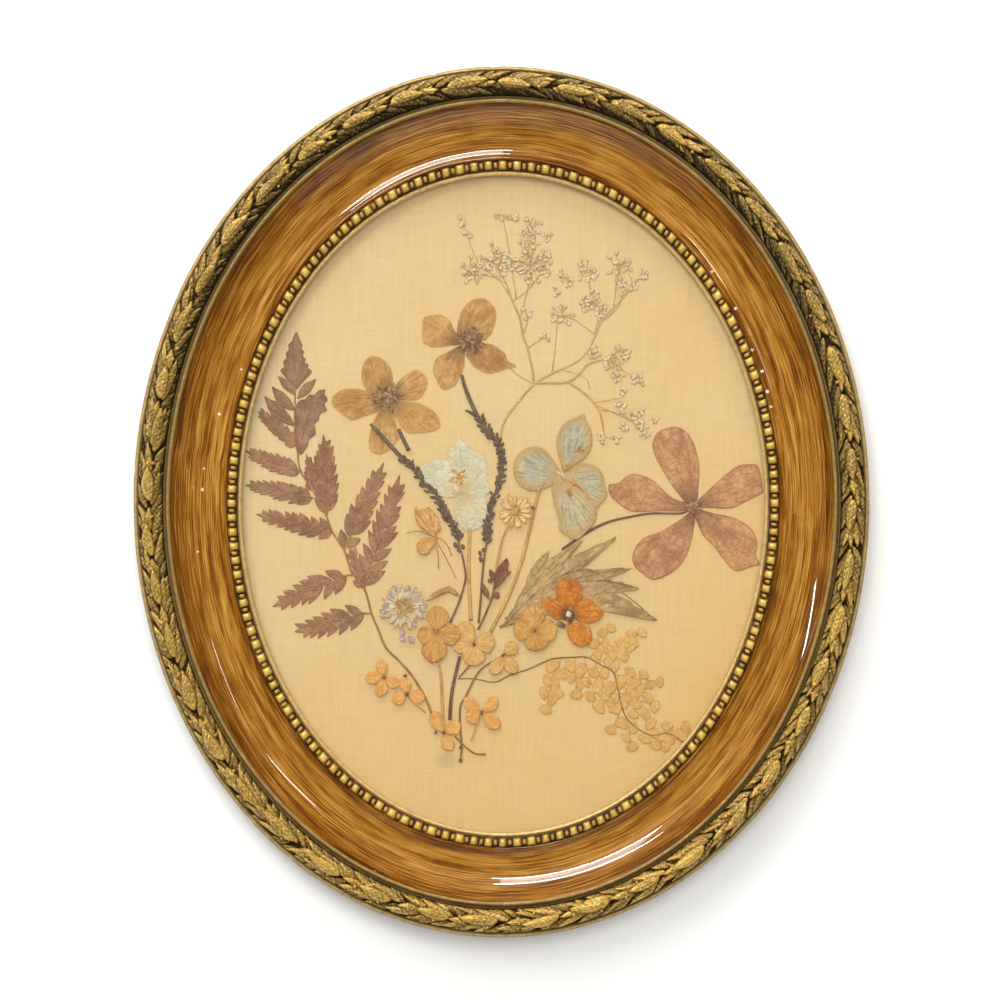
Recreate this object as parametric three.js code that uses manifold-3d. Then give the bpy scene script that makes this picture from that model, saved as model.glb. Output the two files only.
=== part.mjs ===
// An oval gilt wall frame that holds a spray of pressed flowers behind glass.
// Millimetres. +Z is up and the front faces -Y. The origin is where the wall nail bears in the hanger.
// Heights are measured forwards from the back of the moulding, so a height h lies at y = -h in the frame.
import * as THREE from 'three';
import { mergeVertices } from 'three/addons/utils/BufferGeometryUtils.js';
import Module from 'manifold-3d';

const wasm = await Module();
wasm.setup();

// ---- Driving dimensions ----

const sight = { halfWidth: 131.4, halfHeight: 165.2, offsetX: 0.9, offsetZ: -1.2 };
const moulding = { width: 52.8, segments: 48, backWidth: 50.4, sideTop: 20, rimTop: 26, filletTop: 30 };
const clearance = 0.3;

const backing = { back: 5, thickness: 2, out: 5.6 };
const sheet = { back: 7.3, thickness: 1.3, out: 5.6 };
const glass = { back: 12, thickness: 1.8, out: 5.6 };
const rabbet = { out: 6.2, height: 14.1 };

const scoop = { inner: 7.8, valley: 15, outer: 36.7, valleyHeight: 16, innerRise: 2.8, outerRise: 13 };
const garland = { bundles: 44, stationsPerBundle: 4, leafRise: 4.2, spread: 1.3 };
const beads = { pairs: 132, largeTop: 4.2, smallTop: 2.4 };

const hanger = { notch: 190, height: 1.55, plate: 0.7, tall: 9, barHalf: 13.5, footEnd: 22, bend: 1.5 };
const teeth = { count: 7, pitch: 3, depth: 1.5 };
const pocket = { halfWidth: 26, bottom: 180, top: 200.5, floor: 3.6 };
const fixingNail = { across: 18.5, above: 193, headRadius: 1.8, headRise: 0.6, shankRadius: 0.6, tip: 9, point: 1 };
const retainer = { count: 6, length: 14, width: 5, thickness: 0.5, reach: 10 };

// The pressed pieces are drawn on a grid laid over the sheet, with columns to the right and rows down.
const grid = { centreColumn: 501.6, centreRow: 503.7, cell: 0.5042 };
const pressed = { thickness: 0.4, layerStep: 0.7, finestDetail: 0.36 };

const colours = {
  wood: 0xa26a2c,
  gilt: 0xa8843e,
  bead: 0xc79b45,
  glass: 0xf4f1e6,
  silk: 0xdfc08c,
  card: 0x9b7b52,
  steel: 0x8f8c86,
  fern: 0x8a6558,
  amber: 0xc58f50,
  spike: 0x55504a,
  white: 0xd7d4b6,
  tan: 0xd6a65e,
  straw: 0xcda566,
  blue: 0xa5b4aa,
  pink: 0xb47a67,
  sage: 0xbca278,
  orange: 0xd7872d,
  apricot: 0xebaf69,
  lilac: 0xded2cc,
  maroon: 0x7d4b41,
};

// ---- The oval ----

const latheBore = 200;

// Turns an even share of the way round into the oval's own angle, so that steps along the rim are equal.
function evenAngle(turn) {
  const wide = sight.halfWidth ** 2;
  const tall = sight.halfHeight ** 2;
  return turn - (tall - wide) / (4 * (tall + wide)) * Math.sin(2 * turn);
}

// Both half-axes grow by the distance out from the sight edge, which is cut a little off centre.
function ovalPoint(angle, out, height) {
  const drift = 1 - out / moulding.width;
  return new THREE.Vector3(
    (sight.halfWidth + out) * Math.cos(angle) + sight.offsetX * drift,
    -height,
    (sight.halfHeight + out) * Math.sin(angle) + sight.offsetZ * drift,
  );
}

// A closed profile of [out, height] points carried round the oval. relief moves a point at its station.
function ovalRing(profile, segments, relief = (station, out, height) => [out, height]) {
  const closed = [...profile, profile[0]].map(([out, height]) => new THREE.Vector2(latheBore + out, height));
  const geometry = new THREE.LatheGeometry(closed, segments);
  const position = geometry.attributes.position;
  for (let i = 0; i < position.count; i += 1) {
    const turn = Math.atan2(position.getX(i), position.getZ(i));
    const station = (Math.round(turn / (2 * Math.PI) * segments) + segments) % segments;
    const radius = Math.hypot(position.getX(i), position.getZ(i));
    const [out, height] = relief(station, radius - latheBore, position.getY(i));
    const point = ovalPoint(evenAngle(turn), out, height);
    position.setXYZ(i, point.x, point.y, point.z);
  }
  return geometry;
}

// ---- Solids ----

function toSolid(geometry) {
  const bare = geometry.clone();
  bare.deleteAttribute('normal');
  bare.deleteAttribute('uv');
  const merged = mergeVertices(bare, 1e-4);
  return new wasm.Manifold(new wasm.Mesh({
    numProp: 3,
    vertProperties: Float32Array.from(merged.attributes.position.array),
    triVerts: Uint32Array.from(merged.index.array),
  }));
}

function toGeometry(solid) {
  const mesh = solid.getMesh();
  const geometry = new THREE.BufferGeometry();
  geometry.setAttribute('position', new THREE.BufferAttribute(Float32Array.from(mesh.vertProperties), 3));
  geometry.setIndex(new THREE.BufferAttribute(Uint32Array.from(mesh.triVerts), 1));
  geometry.computeVertexNormals();
  return geometry;
}

// A flat piece lying parallel to the wall, its back at the given height.
function slab(points, back, thickness) {
  const geometry = new THREE.ExtrudeGeometry(new THREE.Shape(points), { depth: thickness, bevelEnabled: false });
  geometry.translate(0, 0, back);
  geometry.rotateX(Math.PI / 2);
  return geometry;
}

// An oval panel that follows the sight edge at the given distance out.
function ovalPanel({ out, back, thickness }) {
  const points = [];
  for (let i = 0; i < moulding.segments; i += 1) {
    const point = ovalPoint(evenAngle(2 * Math.PI * i / moulding.segments), out, 0);
    points.push(new THREE.Vector2(point.x, point.z));
  }
  return slab(points, back, thickness);
}

// ---- Moulding, garland and bead strip ----

// The scoop is level at its valley, lifts a little towards the beads and steeply towards the fillet.
function scoopHeight(out) {
  if (out < scoop.valley) {
    return scoop.valleyHeight + scoop.innerRise * ((scoop.valley - out) / (scoop.valley - scoop.inner)) ** 2;
  }
  return scoop.valleyHeight + scoop.outerRise * ((out - scoop.valley) / (scoop.outer - scoop.valley)) ** 2.1;
}

const edgeRound = 1.4;
const lipTop = 16.9;
const garlandSeat = { inner: 39.9, outer: 50.4, height: 25.6 };
const beadSeat = { inner: 2, innerHeight: 15.6, outer: 7.6, outerHeight: 16.4 };

function mouldingProfile() {
  const scoopStations = [scoop.outer, 31.5, 24.5, scoop.valley, scoop.inner];
  return [
    [rabbet.out, 0],
    [moulding.backWidth, 0],
    [moulding.width, moulding.sideTop],
    [moulding.width, moulding.rimTop],
    [moulding.width - edgeRound, moulding.rimTop + 1.2],
    [garlandSeat.outer, garlandSeat.height],
    [garlandSeat.inner, garlandSeat.height],
    [scoop.outer + 1.7, moulding.filletTop],
    ...scoopStations.map((out) => [out, scoopHeight(out)]),
    [beadSeat.outer, beadSeat.outerHeight],
    [beadSeat.inner, beadSeat.innerHeight],
    [edgeRound, lipTop],
    [0, lipTop - 0.8],
    [0, rabbet.height],
    [rabbet.out, rabbet.height],
  ];
}

function retainerAngle(index) {
  return Math.PI / 6 + index * 2 * Math.PI / retainer.count;
}

const nailSides = 8;

// A flat steel point that lies on the backing board with its outer end in the rabbet's wall.
function retainerPlate(index, grow) {
  const angle = retainerAngle(index);
  const outer = ovalPoint(angle, retainer.reach, 0);
  const inner = ovalPoint(angle, 0, 0);
  const heading = Math.atan2(outer.z - inner.z, outer.x - inner.x);
  const back = backing.back - clearance - retainer.thickness;
  const plate = new THREE.BoxGeometry(
    retainer.length + 2 * grow,
    retainer.thickness + 2 * grow,
    retainer.width + 2 * grow,
  );
  plate.translate(-retainer.length / 2, -back - retainer.thickness / 2, 0);
  plate.rotateY(-heading);
  plate.translate(outer.x, 0, outer.z);
  return plate;
}

function nailBore(side) {
  const radius = fixingNail.shankRadius + clearance;
  const depth = fixingNail.tip + clearance + hanger.plate;
  const bore = new THREE.CylinderGeometry(radius, radius, depth, nailSides);
  return bore.translate(side * fixingNail.across, depth / 2 - fixingNail.tip - clearance, fixingNail.above);
}

function frameMoulding() {
  let solid = toSolid(ovalRing(mouldingProfile(), moulding.segments));
  const pocketHeight = pocket.top - pocket.bottom;
  const cutter = new THREE.BoxGeometry(2 * pocket.halfWidth, 2 * pocket.floor, pocketHeight);
  cutter.translate(0, 0, pocket.bottom + pocketHeight / 2);
  solid = solid.subtract(toSolid(cutter));
  for (const side of [-1, 1]) {
    solid = solid.subtract(toSolid(nailBore(side)));
  }
  for (let index = 0; index < retainer.count; index += 1) {
    solid = solid.subtract(toSolid(retainerPlate(index, clearance)));
  }
  return toGeometry(solid);
}

// Overlapping bundles of laurel leaves: each swells to its middle and drops at its tips.
function laurelGarland() {
  const swell = [0, 0.8, 1, 0.5];
  const crest = { out: 45, height: 31.6 };
  const base = garlandSeat.height + clearance;
  const foot = { inner: garlandSeat.inner + 0.5, outer: garlandSeat.outer - 1 };
  const profile = [
    [foot.inner, base],
    [foot.outer, base],
    [foot.outer - 0.7, crest.height],
    [foot.inner + 1.1, crest.height],
  ];
  return ovalRing(profile, garland.bundles * garland.stationsPerBundle, (station, out, height) => {
    const lift = swell[station % garland.stationsPerBundle];
    if (height < base + 1) {
      return [out, height];
    }
    return [out + Math.sign(out - crest.out) * garland.spread * lift, height + garland.leafRise * lift];
  });
}

// A strip of large cushion beads with a small pair between each two.
function beadStrip() {
  const base = (out) => THREE.MathUtils.mapLinear(out, beadSeat.inner, beadSeat.outer,
    beadSeat.innerHeight, beadSeat.outerHeight) + clearance;
  const inner = beadSeat.inner + 0.5;
  const outer = beadSeat.outer - 0.5;
  const crest = 5;
  const profile = [[inner, base(inner)], [outer, base(outer)], [crest, base(crest) + beads.smallTop]];
  return ovalRing(profile, 2 * beads.pairs, (station, out, height) => {
    const onCrest = height > base(out) + 1;
    const rise = station % 2 === 0 ? beads.largeTop - beads.smallTop : 0;
    return onCrest ? [out, height + rise] : [out, height];
  });
}

// ---- Hanger and its nails ----

// A bar bent back from two feet, with teeth along its lower edge for the wall nail.
function sawtoothHanger() {
  const footFront = pocket.floor - clearance;
  const footBack = footFront - hanger.plate;
  const barBack = hanger.height - hanger.plate / 2;
  const barFront = barBack + hanger.plate;
  const inside = hanger.barHalf - hanger.plate;
  const half = [
    [hanger.barHalf, barBack],
    [hanger.barHalf + hanger.bend, footBack],
    [hanger.footEnd, footBack],
    [hanger.footEnd, footFront],
    [inside + hanger.bend, footFront],
    [inside, barFront],
  ];
  const outline = [...half, ...half.map(([x, h]) => [-x, h]).reverse()];
  const geometry = new THREE.ExtrudeGeometry(
    new THREE.Shape(outline.map(([x, h]) => new THREE.Vector2(x, -h))),
    { depth: hanger.tall, bevelEnabled: false },
  );
  const lowerEdge = hanger.notch - teeth.depth;
  geometry.translate(0, 0, lowerEdge);
  let solid = toSolid(geometry);
  for (let i = 0; i < teeth.count; i += 1) {
    const gap = new THREE.CylinderGeometry(teeth.depth, teeth.depth, 2 * teeth.depth, 4);
    gap.translate((i - (teeth.count - 1) / 2) * teeth.pitch, -hanger.height, lowerEdge);
    solid = solid.subtract(toSolid(gap));
  }
  for (const side of [-1, 1]) {
    solid = solid.subtract(toSolid(nailBore(side)));
  }
  return toGeometry(solid);
}

function hangerNail(side) {
  const headFront = pocket.floor - clearance - hanger.plate - clearance;
  const profile = [
    [0, fixingNail.headRise - headFront],
    [fixingNail.headRadius * 0.7, fixingNail.headRise - headFront],
    [fixingNail.headRadius, -headFront],
    [fixingNail.shankRadius, -headFront],
    [fixingNail.shankRadius, fixingNail.point - fixingNail.tip],
    [0, -fixingNail.tip],
  ];
  const nail = new THREE.LatheGeometry(profile.map(([r, y]) => new THREE.Vector2(r, y)).reverse(), nailSides);
  return nail.translate(side * fixingNail.across, 0, fixingNail.above);
}

// ---- Outlines of pressed pieces ----

function onSheet([column, row]) {
  return new THREE.Vector2((column - grid.centreColumn) * grid.cell, (grid.centreRow - row) * grid.cell);
}

// The outline as drawn.
function cut(cells) {
  return cells.map(onSheet);
}

// A leaf or petal: half its width follows a sine that peaks at the share of its length called widest.
function blade(base, tip, width, widest = 0.55, steps = 4, teeth = false) {
  const from = onSheet(base);
  const to = onSheet(tip);
  const across = new THREE.Vector2(from.y - to.y, to.x - from.x).normalize();
  const power = Math.log(0.5) / Math.log(widest);
  const side = (sign) => {
    const points = [];
    for (let i = 1; i <= steps; i += 1) {
      const share = i / (steps + (teeth ? 0.6 : 1));
      const half = sign * width * grid.cell / 2 * Math.sin(Math.PI * share ** power);
      points.push(from.clone().lerp(to, share).addScaledVector(across, half));
      if (teeth) {
        points.push(from.clone().lerp(to, share + 0.01).addScaledVector(across, half * 0.62));
      }
    }
    return points;
  };
  return [from, ...side(-1), to, ...side(1).reverse()];
}

// A stem: a strip of even width, or of the two widths in turn where buds sit along it.
function strip(path, width, budWidth = width) {
  const points = path.map(onSheet);
  const left = [];
  const right = [];
  points.forEach((point, i) => {
    const before = points[Math.max(i - 1, 0)];
    const after = points[Math.min(i + 1, points.length - 1)];
    const across = new THREE.Vector2(before.y - after.y, after.x - before.x).normalize();
    const half = (i % 2 === 0 ? width : budWidth) * grid.cell / 2;
    left.push(point.clone().addScaledVector(across, half));
    right.push(point.clone().addScaledVector(across, -half));
  });
  return [...right, ...left.reverse()];
}

// The same route with more stations on it, for the buds of a spike.
function beaded(path, stations) {
  const curve = new THREE.SplineCurve(path.map(([x, y]) => new THREE.Vector2(x, y)));
  return curve.getSpacedPoints(stations).map((point) => [point.x, point.y]);
}

function disc([column, row], radius, sides = 7) {
  return Array.from({ length: sides }, (_, i) => {
    const angle = 2 * Math.PI * i / sides;
    return onSheet([column + radius * Math.cos(angle), row + radius * Math.sin(angle)]);
  });
}

// Outlines that grow together are pressed as one thin piece in the given layer.
function pressedPiece(layer, outlines) {
  const back = sheet.back + sheet.thickness + clearance + layer * pressed.layerStep;
  const solids = outlines.map((points) => {
    const ring = THREE.ShapeUtils.area(points) < 0 ? [...points].reverse() : points;
    return toSolid(slab(ring, back, pressed.thickness));
  });
  const joined = solids.reduce((sum, solid) => sum.add(solid));
  return toGeometry(joined.simplify(pressed.finestDetail));
}

function fernFrond() {
  const rachis = [
    [295, 396], [294.5, 439], [300, 472], [312.8, 492], [332.4, 534], [344, 551], [364.7, 591.5],
    [378.7, 632], [386.3, 650], [400.3, 664], [418, 686], [434, 722],
  ];
  const smooth = [
    [[295, 404], [277, 378], 9],
    [[295, 412], [316, 381], 9],
    [[295, 432], [263.6, 395], 13],
    [[312, 493], [323, 451], 12],
  ];
  const toothed = [
    [[296, 400], [296, 333.6], 27, 3],
    [[297, 452], [258, 413], 14, 2],
    [[297, 453], [324, 391], 26, 2],
    [[302, 474], [244.6, 452.4], 20, 3],
    [[318, 503], [245.4, 487.8], 20, 3],
    [[325, 520], [326, 439], 22, 3],
    [[334, 536], [255, 517], 23, 3],
    [[343, 552], [383.6, 465.3], 22, 3],
    [[365, 592], [401, 478], 28, 4],
    [[352, 578], [272, 609], 23, 3],
    [[369, 615.4], [294, 633], 24, 3],
  ];
  return [
    strip(rachis, 3),
    ...smooth.map(([base, tip, width]) => blade(base, tip, width, 0.5, 2)),
    ...toothed.map(([base, tip, width, teeth]) => blade(base, tip, width, 0.42, teeth, true)),
    strip([[359, 579], [343, 578]], 2.5),
    strip([[374, 616], [360, 615.2]], 2.5),
  ];
}

const amberRight = [
  [[466, 345], [457.5, 336], [458, 323.5], [463, 311], [473, 302], [484, 300], [493, 307], [496, 317],
    [494, 328], [489, 339], [480, 345]],
  [[462, 344], [455, 350], [446, 348.5], [432, 349], [423, 343], [424, 319], [440.7, 316.5], [449, 322],
    [456, 332], [463, 340]],
  [[464, 346], [463.8, 360], [461.7, 375], [454.7, 386.6], [442.8, 391.5], [435, 378], [433, 370],
    [436.5, 360], [456, 348]],
  [[462, 342], [484, 347], [492.6, 346.6], [505, 356], [516.4, 368.4], [505, 371], [487, 375.4],
    [471.5, 365.6], [465, 352]],
];

const amberLeft = [
  [[384, 400], [371, 397], [362, 384], [362, 370], [367.7, 360], [376, 358], [384.5, 363], [391.6, 373],
    [392, 386], [391, 400]],
  [[387, 398], [395, 385], [404, 378], [417, 372], [427, 381], [425, 392], [418, 401], [407, 403], [392, 403]],
  [[388, 399], [404, 403], [418, 405], [432, 412], [438.6, 420], [439, 430], [426.6, 434.3], [410, 435],
    [400, 428], [390, 410]],
  [[388, 396], [372, 393], [355, 391], [341, 392], [331, 402], [337, 412], [348, 420], [366, 418], [388, 408]],
  [[383, 405], [376, 420], [370.5, 431.5], [369, 448], [376, 456], [386, 454], [398.6, 441], [398, 430],
    [392, 408]],
];

const whiteFlower = [
  [[463, 500], [427, 486], [418.6, 472], [430, 464], [447, 461.6], [452, 449], [458.6, 440], [466, 445],
    [474.7, 454], [484, 457], [487.3, 471], [488, 497], [487, 523], [470.5, 534], [460.7, 528], [455, 512]],
  strip([[470, 528], [469, 582], [471, 623]], 3.5),
];

const blueFlower = [
  [[566, 484], [557, 451], [558, 436], [566, 424.5], [583.7, 416], [591.8, 436], [590, 450], [582, 462],
    [575.5, 484]],
  [[564, 470], [556, 457], [541, 449], [525, 451], [515, 463], [514, 478], [523, 490], [538, 494], [562, 486]],
  [[562, 471], [582, 465], [595, 468], [603, 476], [607, 497], [600, 508], [590, 498], [577, 487], [563, 487]],
  [[562, 482], [553, 490], [554, 506], [559, 523], [561, 533], [575.5, 542], [585, 536], [595, 523],
    [597, 510], [589, 496], [576, 484]],
];

const pinkFlower = [
  [[690, 512], [671, 487], [653, 455], [653, 444], [659, 433.6], [675, 429], [688, 435], [695, 448],
    [699, 469], [698, 491], [697, 510]],
  [[694, 508], [714, 487], [736, 469], [758, 469], [762.5, 491], [746, 503], [730, 510], [695, 514]],
  [[696, 512], [714, 515.7], [734, 520], [750, 530], [757, 544], [759, 566], [736, 573], [727, 566],
    [714, 550], [697, 523]],
  [[690, 511], [697, 517], [693, 534], [686, 559], [671, 575], [653.6, 582], [641, 575], [633, 566],
    [634, 553], [643, 541], [661, 533.6]],
  [[694, 506], [671, 499], [652, 482], [632, 476], [609, 486], [611, 498], [625, 510], [636, 514],
    [661, 513], [692, 514]],
];

const toothedLeaf = [
  [500, 630], [521, 596], [535, 572], [547.7, 561], [552, 561], [567, 553], [582.8, 543], [580, 556],
    [598, 550], [616.5, 540], [596, 566], [622, 569.5], [630.5, 571.6], [618, 580.7], [640, 590.5],
    [632, 594], [657, 623.5], [626, 599], [604, 590], [590, 589], [556, 596], [528, 606], [514, 618.6],
];

const orangeFlower = [
  [[561, 616], [556, 596], [559, 583.5], [569, 580], [578.6, 585], [582, 596], [577, 616]],
  [[569, 612], [561, 606], [553, 600], [541, 603], [543.5, 611], [553, 620], [569, 621]],
  [[569, 611], [578.6, 604.5], [588, 600], [603, 616], [597, 623], [588, 625], [569, 622]],
  [[563, 616], [575, 616], [584, 624], [592, 638], [588, 645], [581, 649], [571.6, 644], [566, 632]],
];

// Florets: the layer they lie in, their centre, their petal tips and the width of a petal.
const hydrangeaFlorets = {
  hydrangea_floret_low_right: {
    layer: 3, centre: [535, 632], tips: [[532, 606], [512, 631], [558, 631], [537, 653]], petal: 23,
  },
  hydrangea_floret_left: {
    layer: 3, centre: [437, 634], tips: [[440, 609], [418, 640], [431, 663], [461, 638]], petal: 20,
  },
  hydrangea_floret_middle: {
    layer: 2, centre: [474, 646], tips: [[464, 625], [494, 643], [472, 668], [453, 649]], petal: 19,
  },
  hydrangea_floret_small: {
    layer: 3, centre: [503.5, 657], tips: [[491, 676], [517, 674], [517, 645]], petal: 13,
  },
};

const apricotFlorets = {
  apricot_floret_1: {
    layer: 2, centre: [384, 679], tips: [[381, 663], [366, 681], [380, 697], [400, 688]], petal: 11,
  },
  apricot_floret_2: { layer: 2, centre: [407, 696], tips: [[404, 680], [393, 702], [424, 701]], petal: 11 },
  apricot_floret_3: {
    layer: 2, centre: [481.7, 714], tips: [[466, 700], [496, 701], [467, 722], [497, 727]], petal: 12,
  },
  apricot_floret_4: { layer: 2, centre: [444.5, 735], tips: [[434, 714], [459, 724], [450, 752]], petal: 12 },
};

function floret({ layer, centre, tips, petal }) {
  const petals = tips.map((tip) => blade(centre, tip, petal, 0.66, 2));
  return pressedPiece(layer, [disc(centre, petal * 0.3, 5), ...petals]);
}

function rayFlower(centre, radius, rays, inner) {
  const points = [];
  for (let i = 0; i < rays; i += 1) {
    const angle = 2 * Math.PI * i / rays;
    for (const [reach, turn] of [[radius, 0], [inner, Math.PI / rays]]) {
      points.push([centre[0] + reach * Math.cos(angle + turn), centre[1] + reach * Math.sin(angle + turn)]);
    }
  }
  return cut(points);
}

function gypsophila() {
  const twigs = [
    [[501, 441], [516, 406], [534, 386], [576, 364], [590, 348], [601, 323], [638, 281]],
    [[534, 387], [523, 336], [500, 262], [466, 226]],
    [[523, 336], [533, 268], [534, 231]],
    [[532, 384], [566, 384], [590, 366], [622, 361], [637, 382]],
    [[566, 383], [601, 418], [608, 440]],
    [[585, 402], [621, 403], [641, 428]],
    [[590, 348], [598, 311], [588, 274]],
    [[598, 325], [563, 318], [521, 325]],
    [[598, 312], [620, 271]],
  ];
  const puffs = [
    [466, 228, 12], [508, 223, 10], [534, 230, 14], [471, 273, 11], [495, 264, 14], [531, 266, 18],
    [588, 274, 10], [626, 277, 15], [598, 311, 12], [552, 321, 12], [622, 359, 11],
    [637, 382, 7], [621, 403, 9], [641, 427, 12], [608, 440, 8],
  ];
  const links = [[[508, 223], [534, 230]], [[471, 273], [495, 264]]];
  return [
    ...[...twigs, ...links].map((twig) => strip(twig, 2)),
    ...puffs.map(([column, row, radius]) => disc([column, row], radius, 5)),
  ];
}

function maidenhair() {
  const stem = [[458, 681], [494, 684], [528, 671], [553, 661], [587, 659], [614, 675], [626, 720], [682, 743.5]];
  const rows = [
    [[598, 664], [608, 635]],
    [[600, 666], [636, 637]],
    [[612, 673], [652, 668]],
    [[613, 676], [655, 683]],
    [[620, 694], [652, 707]],
    [[556, 662], [547, 705]],
    [[582, 660], [575, 690]],
    [[606, 670], [590, 702]],
    [[620, 694], [603, 706]],
    [[626, 716], [634, 743]],
  ];
  return [
    strip(stem, 2),
    ...rows.map(([from, to]) => strip(beaded([from, to], 3), 6, 15)),
    strip(beaded([[632, 722], [680, 743]], 5), 6, 14),
  ];
}

const bouquetStems = {
  bouquet_stem_1: strip([[437, 661], [441, 679], [443, 721]], 2.6),
  bouquet_stem_2: strip([[460, 658], [452, 693], [450, 722]], 3.4),
  bouquet_stem_3: strip([[501, 659], [480, 672], [466, 697.5], [460, 711.5], [462, 748]], 2),
  bouquet_stem_4: strip([[459, 679], [469, 667.5]], 1.8),
};

// ---- The model ----

const model = new THREE.Group();
const frame = new THREE.Group();
frame.position.set(0, hanger.height, -hanger.notch);
model.add(frame);

function addNode(name, geometry, colour, roughness = 0.8, metalness = 0) {
  const material = new THREE.MeshStandardMaterial({ color: colours[colour], roughness, metalness });
  if (colour === 'glass') {
    material.transparent = true;
    material.opacity = 0.3;
  }
  const mesh = new THREE.Mesh(geometry, material);
  mesh.name = name;
  frame.add(mesh);
}

addNode('frame_moulding', frameMoulding(), 'wood', 0.35);
addNode('laurel_garland', laurelGarland(), 'gilt', 0.5, 0.6);
addNode('beaded_sight_edge', beadStrip(), 'bead', 0.45, 0.7);
addNode('glass_pane', ovalPanel(glass), 'glass', 0.05);
addNode('silk_covered_board', ovalPanel(sheet), 'silk', 0.95);
addNode('backing_board', ovalPanel(backing), 'card', 0.9);

addNode('sawtooth_hanger', sawtoothHanger(), 'steel', 0.4, 1);
addNode('hanger_nail_left', hangerNail(-1), 'steel', 0.4, 1);
addNode('hanger_nail_right', hangerNail(1), 'steel', 0.4, 1);
for (let index = 0; index < retainer.count; index += 1) {
  addNode(`retaining_point_${index + 1}`, retainerPlate(index, 0), 'steel', 0.4, 1);
}

addNode('fern_frond', pressedPiece(0, fernFrond()), 'fern');
addNode('amber_flower_left', pressedPiece(0, amberLeft.map(cut)), 'amber');
addNode('amber_flower_right', pressedPiece(0, amberRight.map(cut)), 'amber');
addNode('white_flower', pressedPiece(0, [cut(whiteFlower[0]), whiteFlower[1]]), 'white');
addNode('gypsophila_spray', pressedPiece(0, gypsophila()), 'straw');
addNode('maidenhair_sprig', pressedPiece(0, maidenhair()), 'tan');

const pinkStem = strip([[690, 512], [652, 515.7], [628.6, 519], [607, 524.6], [585.7, 535.4], [562, 552]], 3);
addNode('pink_flower', pressedPiece(0, [...pinkFlower.map(cut), pinkStem]), 'pink');

const leftSpike = [
  strip([[370.5, 426], [387, 444], [406, 464]], 4),
  strip(beaded([[404, 461], [424, 486], [444, 514], [460, 540]], 9), 7, 13),
  strip([[458, 537], [465, 570], [462, 596], [450, 625]], 3),
];
const rightSpike = [
  strip([[461.7, 377], [466, 397], [478, 419]], 4),
  strip(beaded([[477, 417], [495, 441], [502.4, 466], [491, 510], [488.5, 543]], 11), 7, 14),
  strip([[488.5, 541], [483, 570], [479, 625]], 3),
];
addNode('dark_spike_left', pressedPiece(1, leftSpike), 'spike');
addNode('dark_spike_right', pressedPiece(1, rightSpike), 'spike');
addNode('cut_stem_end', pressedPiece(1, [strip([[399, 430], [409, 453]], 4)]), 'spike');

const blueStem = strip([[546, 480], [532, 521], [522, 562], [510, 595], [491, 634]], 3.5);
addNode('blue_flower', pressedPiece(1, [...blueFlower.map(cut), blueStem]), 'blue');
addNode('toothed_leaf', pressedPiece(1, [cut(toothedLeaf)]), 'sage');
for (const [name, outline] of Object.entries(bouquetStems)) {
  addNode(name, pressedPiece(1, [outline]), 'maroon');
}

const daisyStem = strip([[514, 515], [506, 533], [498.6, 558], [494.5, 588], [492, 600]], 2.4);
addNode('small_daisy', pressedPiece(2, [rayFlower([515.4, 513.7], 19, 8, 11), daisyStem]), 'tan');
addNode('orange_flower', pressedPiece(2, orangeFlower.map(cut)), 'orange');
addNode('lilac_daisy', pressedPiece(2, [rayFlower([403.8, 611], 27, 11, 14)]), 'lilac');

const crumpledFlower = [
  cut([[416, 508.6], [430, 510], [438, 520], [441, 534], [434, 541], [418.6, 526]]),
  cut([[438, 532], [440, 548], [432, 558], [416, 545], [428, 538]]),
];
addNode('crumpled_flower', pressedPiece(2, crumpledFlower), 'tan');
addNode('folded_leaf', pressedPiece(2, [strip([[426, 603.5], [438, 594], [449, 590], [459, 598]], 5)]), 'tan');
for (const [name, shape] of Object.entries(apricotFlorets)) {
  addNode(name, floret(shape), 'apricot');
}
for (const [name, shape] of Object.entries(hydrangeaFlorets)) {
  addNode(name, floret(shape), 'tan');
}
const maroonSprig = [
  blade([494, 592], [508, 559.6], 12, 0.5, 2, true),
  blade([490, 604], [481, 584], 6, 0.5, 2),
  strip([[495, 588], [491.5, 602], [478, 632]], 2.2),
];
addNode('maroon_sprig', pressedPiece(3, maroonSprig), 'maroon');

export default model;
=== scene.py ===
# An oval gilt frame with a spray of pressed flowers behind glass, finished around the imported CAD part.
# Points are millimetres (x right, height forwards from the moulding's back, z up from the oval's centre).
import math

import bpy
import numpy as np
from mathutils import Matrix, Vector


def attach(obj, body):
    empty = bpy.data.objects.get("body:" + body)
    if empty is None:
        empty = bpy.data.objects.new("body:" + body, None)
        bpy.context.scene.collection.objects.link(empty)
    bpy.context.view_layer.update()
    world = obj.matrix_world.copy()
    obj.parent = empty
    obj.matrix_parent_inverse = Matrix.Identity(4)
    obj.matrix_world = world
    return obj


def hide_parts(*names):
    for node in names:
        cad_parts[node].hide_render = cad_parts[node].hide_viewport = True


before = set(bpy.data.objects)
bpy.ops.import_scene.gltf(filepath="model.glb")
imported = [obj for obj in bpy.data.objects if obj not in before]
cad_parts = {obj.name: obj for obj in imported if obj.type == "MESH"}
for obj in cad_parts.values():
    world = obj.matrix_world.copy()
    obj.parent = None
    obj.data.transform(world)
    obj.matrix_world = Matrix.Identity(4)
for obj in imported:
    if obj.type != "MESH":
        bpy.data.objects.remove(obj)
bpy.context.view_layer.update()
print("frame loaded:", len(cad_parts), "nodes")

oval = {"halfWidth": 131.4, "halfHeight": 165.2, "offsetX": 0.9, "offsetZ": -1.2, "width": 52.8}
origin = {"height": 1.55, "above": 190.0}
sheetGrid = {"centreColumn": 501.6, "centreRow": 503.7, "cell": 0.5042}
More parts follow.
